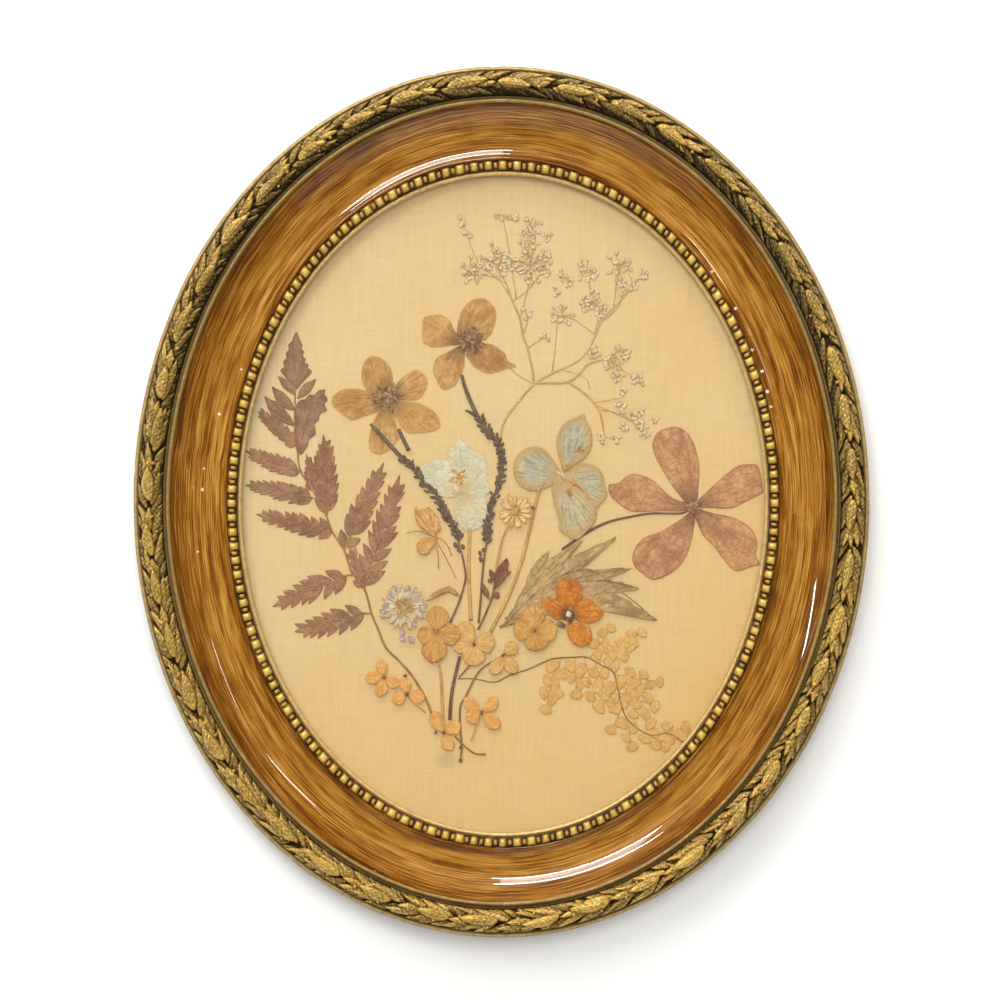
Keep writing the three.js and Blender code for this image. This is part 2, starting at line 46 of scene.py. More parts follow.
# height of the first layer on the silk, step to the next, thickness at a petal's edge, reach of a petal's last
# inner ring and of the two rings of its flat back
pressed = {"firstLayer": 8.9, "layerStep": 0.7, "edge": 0.03, "innerReach": 0.988, "backReach": [0.97, 0.5]}


# Points and meshes

# Millimetre points (x, height, z) become metres in the frame: y is the origin's height less the height.
def toFrame(points):
    x, height, z = points[..., 0], points[..., 1], points[..., 2]
    return np.stack([x, origin["height"] - height, z - origin["above"]], axis=-1) / 1000


# Each half-axis grows by the distance out, and the sight edge's small offset fades towards the rim.
def ovalPoint(angle, out, height):
    drift = 1 - out / oval["width"]
    x = (oval["halfWidth"] + out) * np.cos(angle) + oval["offsetX"] * drift
    z = (oval["halfHeight"] + out) * np.sin(angle) + oval["offsetZ"] * drift
    return np.stack(np.broadcast_arrays(x, height, z), axis=-1)


# An even share of the way round becomes the oval's own angle, so that steps along the rim are equal.
def evenAngle(turn):
    wide, tall = oval["halfWidth"] ** 2, oval["halfHeight"] ** 2
    return turn - (tall - wide) / (4 * (tall + wide)) * np.sin(2 * turn)


# Grid cells (columns and rows counted from the arrangement's top left) become x and z on the silk.
def onSheet(cells):
    cells = np.asarray(cells, float)
    x = (cells[..., 0] - sheetGrid["centreColumn"]) * sheetGrid["cell"]
    z = (sheetGrid["centreRow"] - cells[..., 1]) * sheetGrid["cell"]
    return np.stack([x, z], axis=-1)


# Quads between the rows and columns of a grid. Its last column meets its first, and its rows may do so too.
def gridQuads(rows, columns, wrapRows=False):
    row = np.arange(rows if wrapRows else rows - 1)[:, None]
    column = np.arange(columns)[None, :]
    below, beside = (row + 1) % rows, (column + 1) % columns
    corners = [row * columns + column, row * columns + beside, below * columns + beside,
               below * columns + column]
    return np.stack([np.broadcast_to(c, np.broadcast(row, column).shape) for c in corners], -1).reshape(-1, 4)


# A fan of triangles from each end of a closed grid to its first and last ring.
def capTriangles(rows, columns):
    ring = np.arange(columns)
    first, last, beside = rows * columns, rows * columns + 1, (ring + 1) % columns
    top = np.stack([np.full(columns, first), beside, ring], -1)
    start = (rows - 1) * columns
    bottom = np.stack([np.full(columns, last), start + ring, start + beside], -1)
    return np.concatenate([top, bottom])


# A closed form from rings (rows x columns x 3) and a point beyond each end ring. Of its rows of faces, those
# from flatFrom on are shaded flat, so that a thin edge keeps a crisp front.
def closedForm(rings, firstPole, lastPole, place, lot, finish, flatFrom=None):
    rows, columns = rings.shape[:2]
    points = np.concatenate([rings.reshape(-1, 3), [firstPole, lastPole]])
    marks = np.concatenate([place.reshape(-1, 3), place[0].mean(0)[None], place[-1].mean(0)[None]])
    quads, tris = gridQuads(rows, columns), capTriangles(rows, columns)
    row, atEnd = np.arange(len(quads)) // columns, np.arange(len(tris)) >= columns
    return {
        "points": points, "quads": quads, "tris": tris, "place": marks, "lot": np.full(len(points), lot),
        "smoothQuads": row < (rows if flatFrom is None else flatFrom),
        "smoothTris": ~atEnd | (flatFrom is None),
        "finish": finish,
    }


# Turns every face over where the signed volume under the faces is negative.
def faceOutwards(part):
    points = toFrame(part["points"])
    fans = [part["quads"][:, [0, 1, 2]], part["quads"][:, [0, 2, 3]], part["tris"]]
    corners = points[np.concatenate(fans)]
    volume = np.einsum("ij,ij->i", corners[:, 0], np.cross(corners[:, 1], corners[:, 2])).sum()
    if volume < 0:
        part["quads"], part["tris"] = part["quads"][:, ::-1], part["tris"][:, ::-1]
    return part


# Parts laid end to end in one set of arrays, each face's corners moved past the parts before it.
def joinParts(parts):
    parts = [faceOutwards(part) for part in parts]
    starts = np.cumsum([0] + [len(part["points"]) for part in parts[:-1]])
    joined = {key: np.concatenate([part[key] for part in parts]) for key in (
        "points", "place", "lot", "smoothQuads", "smoothTris")}
    for key in ("quads", "tris"):
        joined[key] = np.concatenate([part[key] + start for part, start in zip(parts, starts)])
    joined["finish"] = np.concatenate([
        np.full(len(part[key]), part["finish"]) for key in ("quads", "tris") for part in parts])
    return joined


# A band that closes on itself both ways, from its rows of points. Place holds the cosine and sine of the way
# round and a third mark, and each row of faces has its finish.
def bandPart(points, turn, third, relief, finishes):
    rows, columns = points.shape[:2]
    place = np.stack(np.broadcast_arrays(np.cos(turn)[None], np.sin(turn)[None], third), -1)
    return faceOutwards({
        "points": points.reshape(-1, 3), "quads": gridQuads(rows, columns, True),
        "tris": np.zeros((0, 3), int),
        "place": place.reshape(-1, 3), "lot": relief.reshape(-1), "finish": np.repeat(finishes, columns),
    })


# One mesh object from a part's arrays; place and lot are the marks that its finishes read.
def makePiece(name, part, finishes, replaced):
    mesh = bpy.data.meshes.new(name)
    quads, tris = part["quads"], part["tris"]
    mesh.vertices.add(len(part["points"]))
    mesh.vertices.foreach_set("co", toFrame(part["points"]).astype(np.float32).ravel())
    mesh.loops.add(quads.size + tris.size)
    mesh.loops.foreach_set("vertex_index", np.concatenate([quads.ravel(), tris.ravel()]).astype(np.int32))
    mesh.polygons.add(len(quads) + len(tris))
    starts = np.concatenate([np.arange(len(quads)) * 4, quads.size + np.arange(len(tris)) * 3])
    mesh.polygons.foreach_set("loop_start", starts.astype(np.int32))
    mesh.polygons.foreach_set("material_index", part["finish"].astype(np.int32))
    smooth = np.ones(len(starts), bool)
    if "smoothQuads" in part:
        smooth = np.concatenate([part["smoothQuads"], part["smoothTris"]])
    mesh.polygons.foreach_set("use_smooth", smooth)
    mesh.update(calc_edges=True)
    mesh.attributes.new("place", "FLOAT_VECTOR", "POINT").data.foreach_set(
        "vector", part["place"].astype(np.float32).ravel())
    mesh.attributes.new("lot", "FLOAT", "POINT").data.foreach_set("value", part["lot"].astype(np.float32))
    for finish in finishes:
        mesh.materials.append(finish)
    piece = bpy.data.objects.new(name, mesh)
    bpy.context.scene.collection.objects.link(piece)
    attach(piece, "root")
    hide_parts(*replaced)


# A pressed plant's piece, named after the node that it replaces.
def pressPiece(name, parts, finishes):
    makePiece(name + "_pressed", joinParts(parts), finishes, [name])


# Shader building blocks

# A display colour of 0-255 as the linear colour that shaders use.
def tint(red, green, blue):
    level = np.array([red, green, blue]) / 255
    linear = np.where(level <= 0.04045, level / 12.92, ((level + 0.055) / 1.055) ** 2.4)
    return (*linear.tolist(), 1.0)


# Adds a node and fills its inputs; a value that is a socket is joined to it.
def addNode(tree, kind, inputs=None, **settings):
    node = tree.nodes.new("ShaderNode" + kind)
    for key, value in settings.items():
        setattr(node, key, value)
    for key, value in (inputs or {}).items():
        if isinstance(value, bpy.types.NodeSocket):
            tree.links.new(value, node.inputs[key])
        else:
            node.inputs[key].default_value = value
    return node


# One Math node on one or two values.
def calc(tree, operation, first, second=0.0):
    return addNode(tree, "Math", {0: first, 1: second}, operation=operation).outputs[0]


# first x second
def times(tree, first, second):
    return calc(tree, "MULTIPLY", first, second)


# first + second
def plus(tree, first, second):
    return calc(tree, "ADD", first, second)


# first - second
def less(tree, first, second):
    return calc(tree, "SUBTRACT", first, second)


# A value moved in a straight line from one range to another and kept inside it.
def remap(tree, value, low, high, toLow=0.0, toHigh=1.0):
    inputs = {"Value": value, "From Min": low, "From Max": high, "To Min": toLow, "To Max": toHigh}
    return addNode(tree, "MapRange", inputs, clamp=True).outputs[0]


# Two colours mixed by a share.
def mixColours(tree, share, first, second):
    return addNode(tree, "Mix", {0: share, 6: first, 7: second}, data_type="RGBA").outputs[2]


# A value read off along a row of colours, given as (position, colour).
def ramp(tree, value, stops):
    node = addNode(tree, "ValToRGB", {"Fac": value})
    elements = node.color_ramp.elements
    while len(elements) < len(stops):
        elements.new(0.5)
    for element, (position, colour) in zip(elements, stops):
        element.position, element.color = position, colour
    return node.outputs["Color"]


# Noise over a vector, as a value round 0.5.
def noise(tree, vector, scale, detail=2.0, roughness=0.5, distortion=0.0):
    inputs = {"Vector": vector, "Scale": scale, "Detail": detail, "Roughness": roughness,
              "Distortion": distortion}
    return addNode(tree, "TexNoise", inputs).outputs["Fac"]


# Noise over x and z that is drawn out where its own scale is small.
def stretchedNoise(tree, x, z, xScale, zScale):
    return noise(tree, combine(tree, times(tree, x, xScale), 0.0, times(tree, z, zScale)), 1.0, 3.0)


# Three values as one vector.
def combine(tree, x, y, z):
    return addNode(tree, "CombineXYZ", {"X": x, "Y": y, "Z": z}).outputs[0]


# The three values of a vector.
def split(tree, vector):
    node = addNode(tree, "SeparateXYZ", {"Vector": vector})
    return node.outputs["X"], node.outputs["Y"], node.outputs["Z"]


# The normal that a height gives over a distance in metres.
def bump(tree, height, strength, distance):
    inputs = {"Height": height, "Strength": strength, "Distance": distance}
    return addNode(tree, "Bump", inputs).outputs["Normal"]


# A mark that the mesh carries at each point.
def mark(tree, name):
    return addNode(tree, "Attribute", attribute_name=name)


# Points in metres in the piece's own frame.
def objectSpace(tree):
    return addNode(tree, "TexCoord").outputs["Object"]


# A material with one Principled shader whose plain values are set on its own sockets.
def newFinish(name, **values):
    material = bpy.data.materials.new(name)
    material.use_nodes = True
    tree = material.node_tree
    tree.nodes.clear()
    shader = addNode(tree, "BsdfPrincipled", {key.replace("_", " "): value for key, value in values.items()})
    exitNode = addNode(tree, "OutputMaterial", {"Surface": shader.outputs[0]})
    return material, tree, shader, exitNode


# An empty group with its named inputs and outputs; a socket's kind is Float, Color or Vector.
def newGroup(name, inputs, outputs):
    tree = bpy.data.node_groups.new(name, "ShaderNodeTree")
    for label, kind, value in inputs:
        socket = tree.interface.new_socket(name=label, in_out="INPUT", socket_type="NodeSocket" + kind)
        if value is not None:
            socket.default_value = value
    for label, kind in outputs:
        tree.interface.new_socket(name=label, in_out="OUTPUT", socket_type="NodeSocket" + kind)
    return tree, tree.nodes.new("NodeGroupInput").outputs, tree.nodes.new("NodeGroupOutput").inputs


# A shared effect placed in a material with its own values.
def useGroup(tree, group, inputs):
    return addNode(tree, "Group", inputs, node_tree=group).outputs


# Brushed graining: noise stretched along the rail. Place holds the cosine and sine of the way round and the
# distance out, so the streaks close on themselves.
def makeGrain():
    tree, entry, leave = newGroup("brushed_grain", [
        ("Place", "Vector", None), ("Stretch", "Float", 9.0), ("Fineness", "Float", 2.0),
        ("Waver", "Float", 0.5),
    ], [("Mask", "Float")])
    cosine, sine, out = split(tree, entry["Place"])
    windings = 14.0  # how many times the streaks drift in and out on the way round
    ring = combine(tree, times(tree, cosine, windings), times(tree, sine, windings), 0.0)
    waver = less(tree, noise(tree, ring, 1.0, 2.0), 0.5)
    drifted = plus(tree, out, times(tree, waver, entry["Waver"]))
    vector = combine(
        tree,
        times(tree, cosine, entry["Stretch"]),
        times(tree, sine, entry["Stretch"]),
        times(tree, drifted, entry["Fineness"]),
    )
    tree.links.new(noise(tree, vector, 1.0, 4.0, 0.62), leave["Mask"])
    return tree


# Small bright or dark specks: the peaks of a fine noise, thinned by a broad one.
def makeSpecks():
    tree, entry, leave = newGroup("specks", [
        ("Vector", "Vector", None), ("Scale", "Float", 900.0), ("Amount", "Float", 0.4),
    ], [("Mask", "Float")])
    fine = noise(tree, entry["Vector"], entry["Scale"], 3.0, 0.7)
    broad = noise(tree, entry["Vector"], times(tree, entry["Scale"], 0.13), 2.0)
    level = plus(tree, fine, times(tree, less(tree, broad, 0.5), 0.5))
    rarest, fall, softness = 0.78, 0.3, 0.1
    start = less(tree, rarest, times(tree, entry["Amount"], fall))
    tree.links.new(remap(tree, level, start, plus(tree, start, softness)), leave["Mask"])
    return tree


# Worn leaf gilding: umber where the relief is low, gold where it is high, broken by specks. Relief runs from hollow
# 0 to ridge 1, and a piece may lower it for painted shade.
def makeGilding():
    tree, entry, leave = newGroup("worn_gilding", [
        ("Vector", "Vector", None), ("Relief", "Float", 0.5),
        ("Hollow", "Color", tint(42, 32, 10)), ("Body", "Color", tint(150, 122, 68)),
        ("Ridge", "Color", tint(222, 182, 96)),
    ], [("Colour", "Color"), ("Mask", "Float")])
    mottled = less(tree, noise(tree, entry["Vector"], 420.0, 4.0, 0.65), 0.5)
    level = plus(tree, entry["Relief"], times(tree, mottled, 0.75))
    low = mixColours(tree, remap(tree, level, 0.05, 0.45), entry["Hollow"], entry["Body"])
    high = mixColours(tree, remap(tree, level, 0.55, 0.95), low, entry["Ridge"])
    tree.links.new(high, leave["Colour"])
    tree.links.new(level, leave["Mask"])
    return tree


# A plain weave: threads across and down, with slubs that thicken some of them.
def makeWeave():
    tree, entry, leave = newGroup("plain_weave", [
        ("Vector", "Vector", None), ("Pitch", "Float", 2600.0),
    ], [("Mask", "Float"), ("Slub", "Float")])
    x, _, z = split(tree, entry["Vector"])
    across = calc(tree, "SINE", times(tree, x, entry["Pitch"]))
    down = calc(tree, "SINE", times(tree, z, entry["Pitch"]))
    threads = times(tree, across, down)
    weft = stretchedNoise(tree, x, z, 60.0, 900.0)
    warp = stretchedNoise(tree, x, z, 700.0, 40.0)
    slub = times(tree, plus(tree, weft, warp), 0.5)
    tree.links.new(remap(tree, threads, -1.0, 1.0), leave["Mask"])
    tree.links.new(slub, leave["Slub"])
    return tree


# Fan veins: noise that is fine round a petal's base and long away from it.
def makeVeins():
    tree, entry, leave = newGroup("fan_veins", [
        ("Place", "Vector", None), ("Lot", "Float", 0.5), ("Count", "Float", 9.0),
    ], [("Mask", "Float")])
    fan, along, _ = split(tree, entry["Place"])
    vector = combine(
        tree,
        times(tree, fan, entry["Count"]),
        times(tree, along, 0.09),
        times(tree, entry["Lot"], 31.0),
    )
    tree.links.new(noise(tree, vector, 1.0, 3.0, 0.6, 0.25), leave["Mask"])
    return tree


grainGroup, specksGroup, gildingGroup = makeGrain(), makeSpecks(), makeGilding()
weaveGroup, veinsGroup = makeWeave(), makeVeins()
print("shared effects ready")


# Finishes of the frame

grained = {
    "dark": tint(70, 32, 0), "body": tint(130, 77, 8), "streak": tint(171, 120, 40),
    "pale": tint(196, 152, 80),
    "speck": tint(232, 212, 180), "chip": tint(236, 226, 208), "stretch": 4.4, "fineness": 1.9, "waver": 0.8,
    # chips in the lacquer: column, row and radius in mm
    "chips": [(220, 416.5, 0.9), (205, 471, 0.6), (203.5, 492, 0.7), (199, 554, 0.6), (735, 312, 0.8),
              (751.5, 353.5, 0.6),
              (761.5, 374.5, 0.8), (766.5, 395, 0.9), (770, 410, 0.7), (712, 275, 0.6), (242, 372, 0.6)],
}


# Painted graining under clear lacquer: three streak sizes, painted shade that darkens the tone towards fillet and
# beads, chips.
def makeGrainedFinish(look):
    material, tree, shader, _ = newFinish(
        "grained_lacquer", Roughness=0.5, Specular_IOR_Level=0.1, Coat_Weight=1.0, Coat_Roughness=0.035,
        Coat_IOR=1.5)
    place = mark(tree, "place").outputs["Vector"]
    out = split(tree, place)[2]
    fine = useGroup(tree, grainGroup, {
        "Place": place, "Stretch": look["stretch"], "Fineness": look["fineness"],
        "Waver": look["waver"]})["Mask"]
    hair = useGroup(tree, grainGroup, {
        "Place": place, "Stretch": look["stretch"] * 2.0, "Fineness": 4.0, "Waver": look["waver"]})["Mask"]
    broad = useGroup(tree, grainGroup, {"Place": place, "Stretch": 3.0, "Fineness": 0.3,
                                        "Waver": 2.0})["Mask"]
    level = plus(tree, times(tree, fine, 0.45), times(tree, hair, 0.55))
    # Painted shade: the tone darkens towards the fillet and towards the beads, which rise above the scoop.
    filletShade = remap(tree, out, 24.0, 34.6, 0.0, 0.07)
    beadShade = remap(tree, out, 12.0, 7.6, 0.0, 0.06)
    tone = plus(tree, level, times(tree, less(tree, broad, 0.5), 0.3))
    tone = less(tree, tone, plus(tree, filletShade, beadShade))
    colour = ramp(tree, tone, [
        (0.36, look["dark"]), (0.465, look["body"]), (0.535, look["streak"]), (0.64, look["pale"])])
    specks = useGroup(tree, specksGroup, {"Vector": objectSpace(tree), "Scale": 340.0,
                                          "Amount": 0.12})["Mask"]
    colour = mixColours(tree, specks, colour, look["speck"])
    x, _, z = split(tree, objectSpace(tree))
    flat = combine(tree, x, 0.0, z)
    for column, row, radius in look["chips"]:
        across, up = onSheet((column, row))
        spot = (across / 1000, 0.0, (up - origin["above"]) / 1000)
        far = addNode(tree, "VectorMath", {0: flat, 1: spot}, operation="DISTANCE").outputs["Value"]
        far = plus(tree, far, times(tree, less(tree, hair, 0.5), 0.003))
        colour = mixColours(tree, remap(tree, far, radius / 1000, radius / 1400), colour, look["chip"])
    tree.links.new(colour, shader.inputs["Base Color"])
    tree.links.new(remap(tree, level, 0.3, 0.7, 0.5, 0.34), shader.inputs["Roughness"])
    tree.links.new(bump(tree, hair, 0.12, 0.0004), shader.inputs["Normal"])
    return material


# Gilding over a carved or cast relief that the piece's lot mark gives, with painted glints on its raised parts.
def makeGiltFinish(name, look):
    material, tree, shader, _ = newFinish(name, Metallic=look["metal"], Roughness=look["roughness"])
    space = objectSpace(tree)
    parts = useGroup(tree, gildingGroup, {
        "Vector": space, "Relief": mark(tree, "lot").outputs["Fac"],
        "Hollow": look["hollow"], "Body": look["body"], "Ridge": look["ridge"]})
    glintSpecks = useGroup(tree, specksGroup, {"Vector": space, "Scale": 1500.0, "Amount": look["glintSpecks"]})["Mask"]
    dark = useGroup(tree, specksGroup, {"Vector": space, "Scale": 800.0, "Amount": look["dark"]})["Mask"]
    colour = mixColours(tree, times(tree, dark, 0.75), parts["Colour"], tint(58, 42, 16))
    # Painted glints: bright specks on the raised gilding are mixed into the colour.
    glintShare = times(tree, glintSpecks, remap(tree, parts["Mask"], 0.35, 0.7))
    colour = mixColours(tree, glintShare, colour, look["paintedGlint"])
    tree.links.new(colour, shader.inputs["Base Color"])
    crackle = noise(tree, space, 1300.0, 4.0, 0.7)
    tree.links.new(bump(tree, crackle, look["crackle"], 0.0004), shader.inputs["Normal"])
    tree.links.new(remap(tree, parts["Mask"], 0.2, 0.9, 0.7, look["roughness"]), shader.inputs["Roughness"])
    return material


# The brightest colour of each look is that of its painted glints.
garlandLook = {
    "metal": 0.35, "roughness": 0.38, "hollow": tint(38, 28, 6), "body": tint(138, 108, 50),
    "ridge": tint(212, 170, 80), "paintedGlint": tint(248, 218, 140), "glintSpecks": 0.6, "dark": 0.5, "crackle": 0.5,
}
rimLook = {
    "metal": 0.3, "roughness": 0.42, "hollow": tint(60, 44, 16), "body": tint(150, 122, 70),
    "ridge": tint(220, 182, 112), "paintedGlint": tint(240, 214, 150), "glintSpecks": 0.35, "dark": 0.4, "crackle": 0.4,
}
beadLook = {
    "metal": 0.3, "roughness": 0.34, "hollow": tint(58, 34, 6), "body": tint(184, 144, 64),
    "ridge": tint(232, 190, 94), "paintedGlint": tint(255, 236, 170), "glintSpecks": 0.5, "dark": 0.3, "crackle": 0.35,
}
grainedFinish = makeGrainedFinish(grained)
garlandFinish = makeGiltFinish("aged_gilding", garlandLook)
rimFinish = makeGiltFinish("rubbed_rim_gilding", rimLook)
beadFinish = makeGiltFinish("bead_gilding", beadLook)


# Bare old wood at the back: long pale and dark fibres along the rail, with grey dust.
def makeBackWood():
    material, tree, shader, _ = newFinish("bare_back_wood", Roughness=0.85)
    place = mark(tree, "place").outputs["Vector"]
    fibre = useGroup(tree, grainGroup, {"Place": place, "Stretch": 12.0, "Fineness": 1.2,
                                        "Waver": 1.0})["Mask"]
    colour = ramp(tree, fibre, [(0.3, tint(92, 62, 36)), (0.5, tint(138, 100, 62)),
                                (0.7, tint(170, 132, 88))])
    dust = remap(tree, noise(tree, objectSpace(tree), 60.0, 4.0), 0.45, 0.75, 0.0, 0.35)
    tree.links.new(mixColours(tree, dust, colour, tint(150, 140, 125)), shader.inputs["Base Color"])
    tree.links.new(bump(tree, fibre, 0.4, 0.0005), shader.inputs["Normal"])
    return material


backWoodFinish = makeBackWood()


# Moulding

rail = {
    "stations": 640, "roundSteps": 4,
    "rabbetOut": 6.2, "rabbetHeight": 14.1, "backOut": 50.4, "sideTop": 20.0, "rimTop": 26.0,
    "scoopInner": 7.8, "valley": 15.0, "scoopOuter": 36.7, "scoopEnd": 34.3, "scoopSteps": 26,
    "valleyHeight": 16.0, "innerRise": 2.8, "outerRise": 13.0, "outerPower": 2.1,
    "pocketHalf": 26.0, "pocketInner": 16.0, "pocketOuter": 37.0, "pocketAt": 26.0, "pocketFloor": 3.6,
    # out, height, rounding and finish of the corners from the garland's seat over the fillet
    "filletCorners": [(50.4, 25.6, 0.3, 1), (37.5, 25.6, 0.5, 1), (36.3, 29.0, 0.3, 1), (35.5, 29.3, 0.3, 1),
                      (34.6, 28.4, 0.2, 2)],
    # the same from the bead seat over the sight lip
    "lipCorners": [(7.6, 16.4, 0.3, 1), (2.0, 15.6, 0.3, 1), (1.6, 16.8, 0.25, 1), (1.0, 16.9, 0.25, 1),
                   (0.1, 16.2, 0.3, 1)],
    # knocks along the rim: way round in radians and depth in mm
    "nicks": [(1.586, 1.0), (1.735, 0.8), (4.15, 1.1), (4.02, 0.9), (3.06, 0.5), (0.62, 0.4)],
    "nickHalf": 0.006,
    # how bright the gilding is: rim top, side, garland seat, fillet, sight lip, bead seat
    "relief": {"rimTop": 0.72, "side": 0.42, "seat": 0.4, "fillet": 0.55, "lip": 0.86, "beadSeat": 0.3},
}


# The scoop is level at its valley and rises as a square inwards and as a power of 2.1 outwards.
def scoopHeight(out):
    inwards = rail["innerRise"] * (np.maximum(rail["valley"] - out,
                                              0) / (rail["valley"] - rail["scoopInner"])) ** 2
    share = np.maximum(out - rail["valley"], 0) / (rail["scoopOuter"] - rail["valley"])
    return rail["valleyHeight"] + inwards + rail["outerRise"] * share ** rail["outerPower"]


# Each corner of a closed outline becomes a short curve (1-t)^2 a + 2t(1-t) b + t^2 c between its two sides.
def roundCorners(corners, radii, steps):
    corners = np.array(corners, float)
    before, after = np.roll(corners, 1, 0) - corners, np.roll(corners, -1, 0) - corners
    reach = np.array(radii)[:, None]
    limit = lambda side: np.minimum(reach / np.linalg.norm(side, axis=1, keepdims=True), 0.45)
    start, end = corners + before * limit(before), corners + after * limit(after)
    t = np.linspace(0, 1, steps)[None, :, None]
    curve = (1 - t) ** 2 * start[:, None] + 2 * t * (1 - t) * corners[:, None] + t ** 2 * end[:, None]
    return curve.reshape(-1, 2)


# A closed profile carried round the oval, its rim a little uneven and nicked. The hanger's pocket is sunk into
# the back at the top.
def makeMoulding():
    scoopOut = np.linspace(rail["scoopEnd"], rail["scoopInner"], rail["scoopSteps"])
    corners = [
        (rail["rabbetOut"], 0, 0.3, 0), (rail["pocketInner"] - 0.1, 0, 0, 0),
        (rail["pocketInner"] + 0.1, 0, 0, 0),
        (rail["pocketOuter"] - 0.1, 0, 0, 0), (rail["pocketOuter"] + 0.1, 0, 0, 0),
        (rail["backOut"], 0, 0.6, 1), (oval["width"], rail["sideTop"], 1.5, 1),
        (oval["width"], rail["rimTop"], 0.7, 1),
        (oval["width"] - 1.4, rail["rimTop"] + 1.2, 0.5, 1),
    ] + rail["filletCorners"]
    corners += [(out, scoopHeight(out), 0, 2) for out in scoopOut] + rail["lipCorners"]
    corners += [(0.0, rail["rabbetHeight"], 0.2, 1), (rail["rabbetOut"], rail["rabbetHeight"], 0.2, 0)]
    table = np.array(corners)
    profile = roundCorners(table[:, :2], np.maximum(table[:, 2], 0.01), rail["roundSteps"])
    zone = np.repeat(table[:, 3], rail["roundSteps"])
    keep = np.linalg.norm(np.diff(profile, axis=0, append=profile[:1]), axis=1) > 0.02
    profile, zone = profile[keep], zone[keep]
    pocketTurn = np.arcsin(rail["pocketHalf"] / (oval["halfWidth"] + rail["pocketAt"]))
    edge = pocketTurn * np.array([1, 1.004, -1, -1.004]) + np.pi / 2
    turn = np.sort(np.concatenate([np.arange(rail["stations"]) * 2 * np.pi / rail["stations"], edge]))
    out, height = np.broadcast_arrays(profile[:, 0][:, None], profile[:, 1][:, None], turn[None])[:2]
    angle = evenAngle(turn)[None]
    sway = 0.10 * np.sin(turn * 7 + 1.3) + 0.07 * np.sin(turn * 17 + 0.4) + 0.05 * np.sin(turn * 41)
    nicks = np.zeros_like(turn)
    for where, deep in rail["nicks"]:
        nicks = np.maximum(nicks, deep * np.exp(-((turn - where) / rail["nickHalf"]) ** 2))
    atRim = np.clip((out - 50.6) / 2.0, 0, 1) * (height > 18)
    moved = out - atRim * (np.abs(sway)[None] * 0.6 + nicks[None] * 0.7)
    lifted = height - atRim * (height > 24) * nicks[None]
    atTop = np.abs((oval["halfWidth"] + out) * np.cos(angle)) < rail["pocketHalf"]
    sunk = (height < 0.05) & (out > rail["pocketInner"]) & (out < rail["pocketOuter"]) & atTop & (np.sin(angle) > 0)
    lifted = np.where(sunk, rail["pocketFloor"], lifted)
    tone = rail["relief"]
    relief = np.select(
        [out > 50.5, (out > 37.2) & (height < 27), out > 34.5, out < 2.2],
        [np.where(height > 26.4, tone["rimTop"], tone["side"]), tone["seat"], tone["fillet"], tone["lip"]],
        tone["beadSeat"])
    return bandPart(ovalPoint(angle, moved, lifted), turn, out, relief, zone)


makePiece("grained_moulding", makeMoulding(), [backWoodFinish, rimFinish, grainedFinish], ["frame_moulding"])
print("moulding made")


# Laurel garland

laurel = {
    "columns": 2160, "bundles": 44, "centreOut": 44.3, "innerOut": 38.4, "outerOut": 50.2, "rows": 42,
    "spread": 1.2,
    "foot": 25.9, "floor": 0.4, "body": 3.4, "crest": 35.6, "girth": 1216.8, "seed": 11,
    # berries: start along the bundle, start across, radius; and how high they stand
    "berries": [(19.5, 1.2, 0.85), (20.0, -1.2, 0.85), (6.0, 3.2, 0.7), (12.0, -3.2, 0.7)],
    "berryLevel": 32.6, "berryTall": 1.7, "lumpSize": 0.07, "lumpWaves": 9,
    # start along the bundle, start across, slant in degrees, length, width, level, rise
    "leaves": [
        (-7.0, -0.9, -27, 14, 2.6, 30.0, 2.4), (-1.0, -1.1, -24, 15, 2.8, 30.0, 2.5),
        (5.0, -0.9, -26, 14, 2.6, 29.9, 2.4), (11.0, -1.0, -25, 14, 2.8, 30.0, 2.4),
        (17.0, -0.9, -27, 13, 2.4, 29.9, 2.3), (-5.0, 0.9, 25, 14, 2.6, 30.0, 2.4),
        (1.0, 1.1, 27, 13, 2.8, 30.0, 2.4), (8.0, 0.9, 24, 14, 2.6, 29.9, 2.4),
        (15.0, 1.0, 26, 13, 2.6, 30.0, 2.3), (-3.0, -0.6, -14, 18, 3.2, 30.8, 3.0),
        (6.0, -0.6, -13, 18, 3.0, 30.7, 3.0), (3.0, 0.6, 14, 17, 3.2, 30.8, 3.0),
        (12.0, 0.6, 13, 16, 3.0, 30.7, 3.0), (0.0, 0.1, 0, 19, 5.2, 31.6, 3.8),
        (13.5, 0.0, 2, 12, 3.2, 31.3, 3.2)],
}


# One leaf: inside its outline the height is a blunt arch across, lifting towards the tip, with a midrib
# groove and long ribs. s runs clockwise along the rail and w outwards.
def leafHeight(s, w, leaf):
    turnBy = math.radians(leaf["slant"])
    ds, dw = s - leaf["s"], w - leaf["w"]
    along = (ds * math.cos(turnBy) + dw * math.sin(turnBy)) / leaf["length"]
    sway = leaf["bend"] * np.sin(np.pi * np.clip(along, 0, 1))
    across = -ds * math.sin(turnBy) + dw * math.cos(turnBy) + sway
    inside = (along > 0) & (along < 1)
    share = np.clip(along, 0.001, 0.999)
    half = leaf["width"] / 2 * np.sin(np.pi * share ** 0.8) ** 0.7 + 0.02
    q = across / half
    inside &= np.abs(q) < 1
    arch = (1 - np.clip(np.abs(q), 0, 1) ** 2.6) ** 0.6
    rise = leaf["rise"] * (0.5 + 0.5 * share ** 0.7) * arch
    groove = 0.35 * np.exp(-(across / 0.3) ** 2) * (1 - share)
    ribs = 0.2 * np.cos(2 * np.pi * (np.abs(q) * 1.9 - share * leaf["curl"]))
    return np.where(inside, leaf["level"] + rise - groove + ribs * arch, -1.0), inside


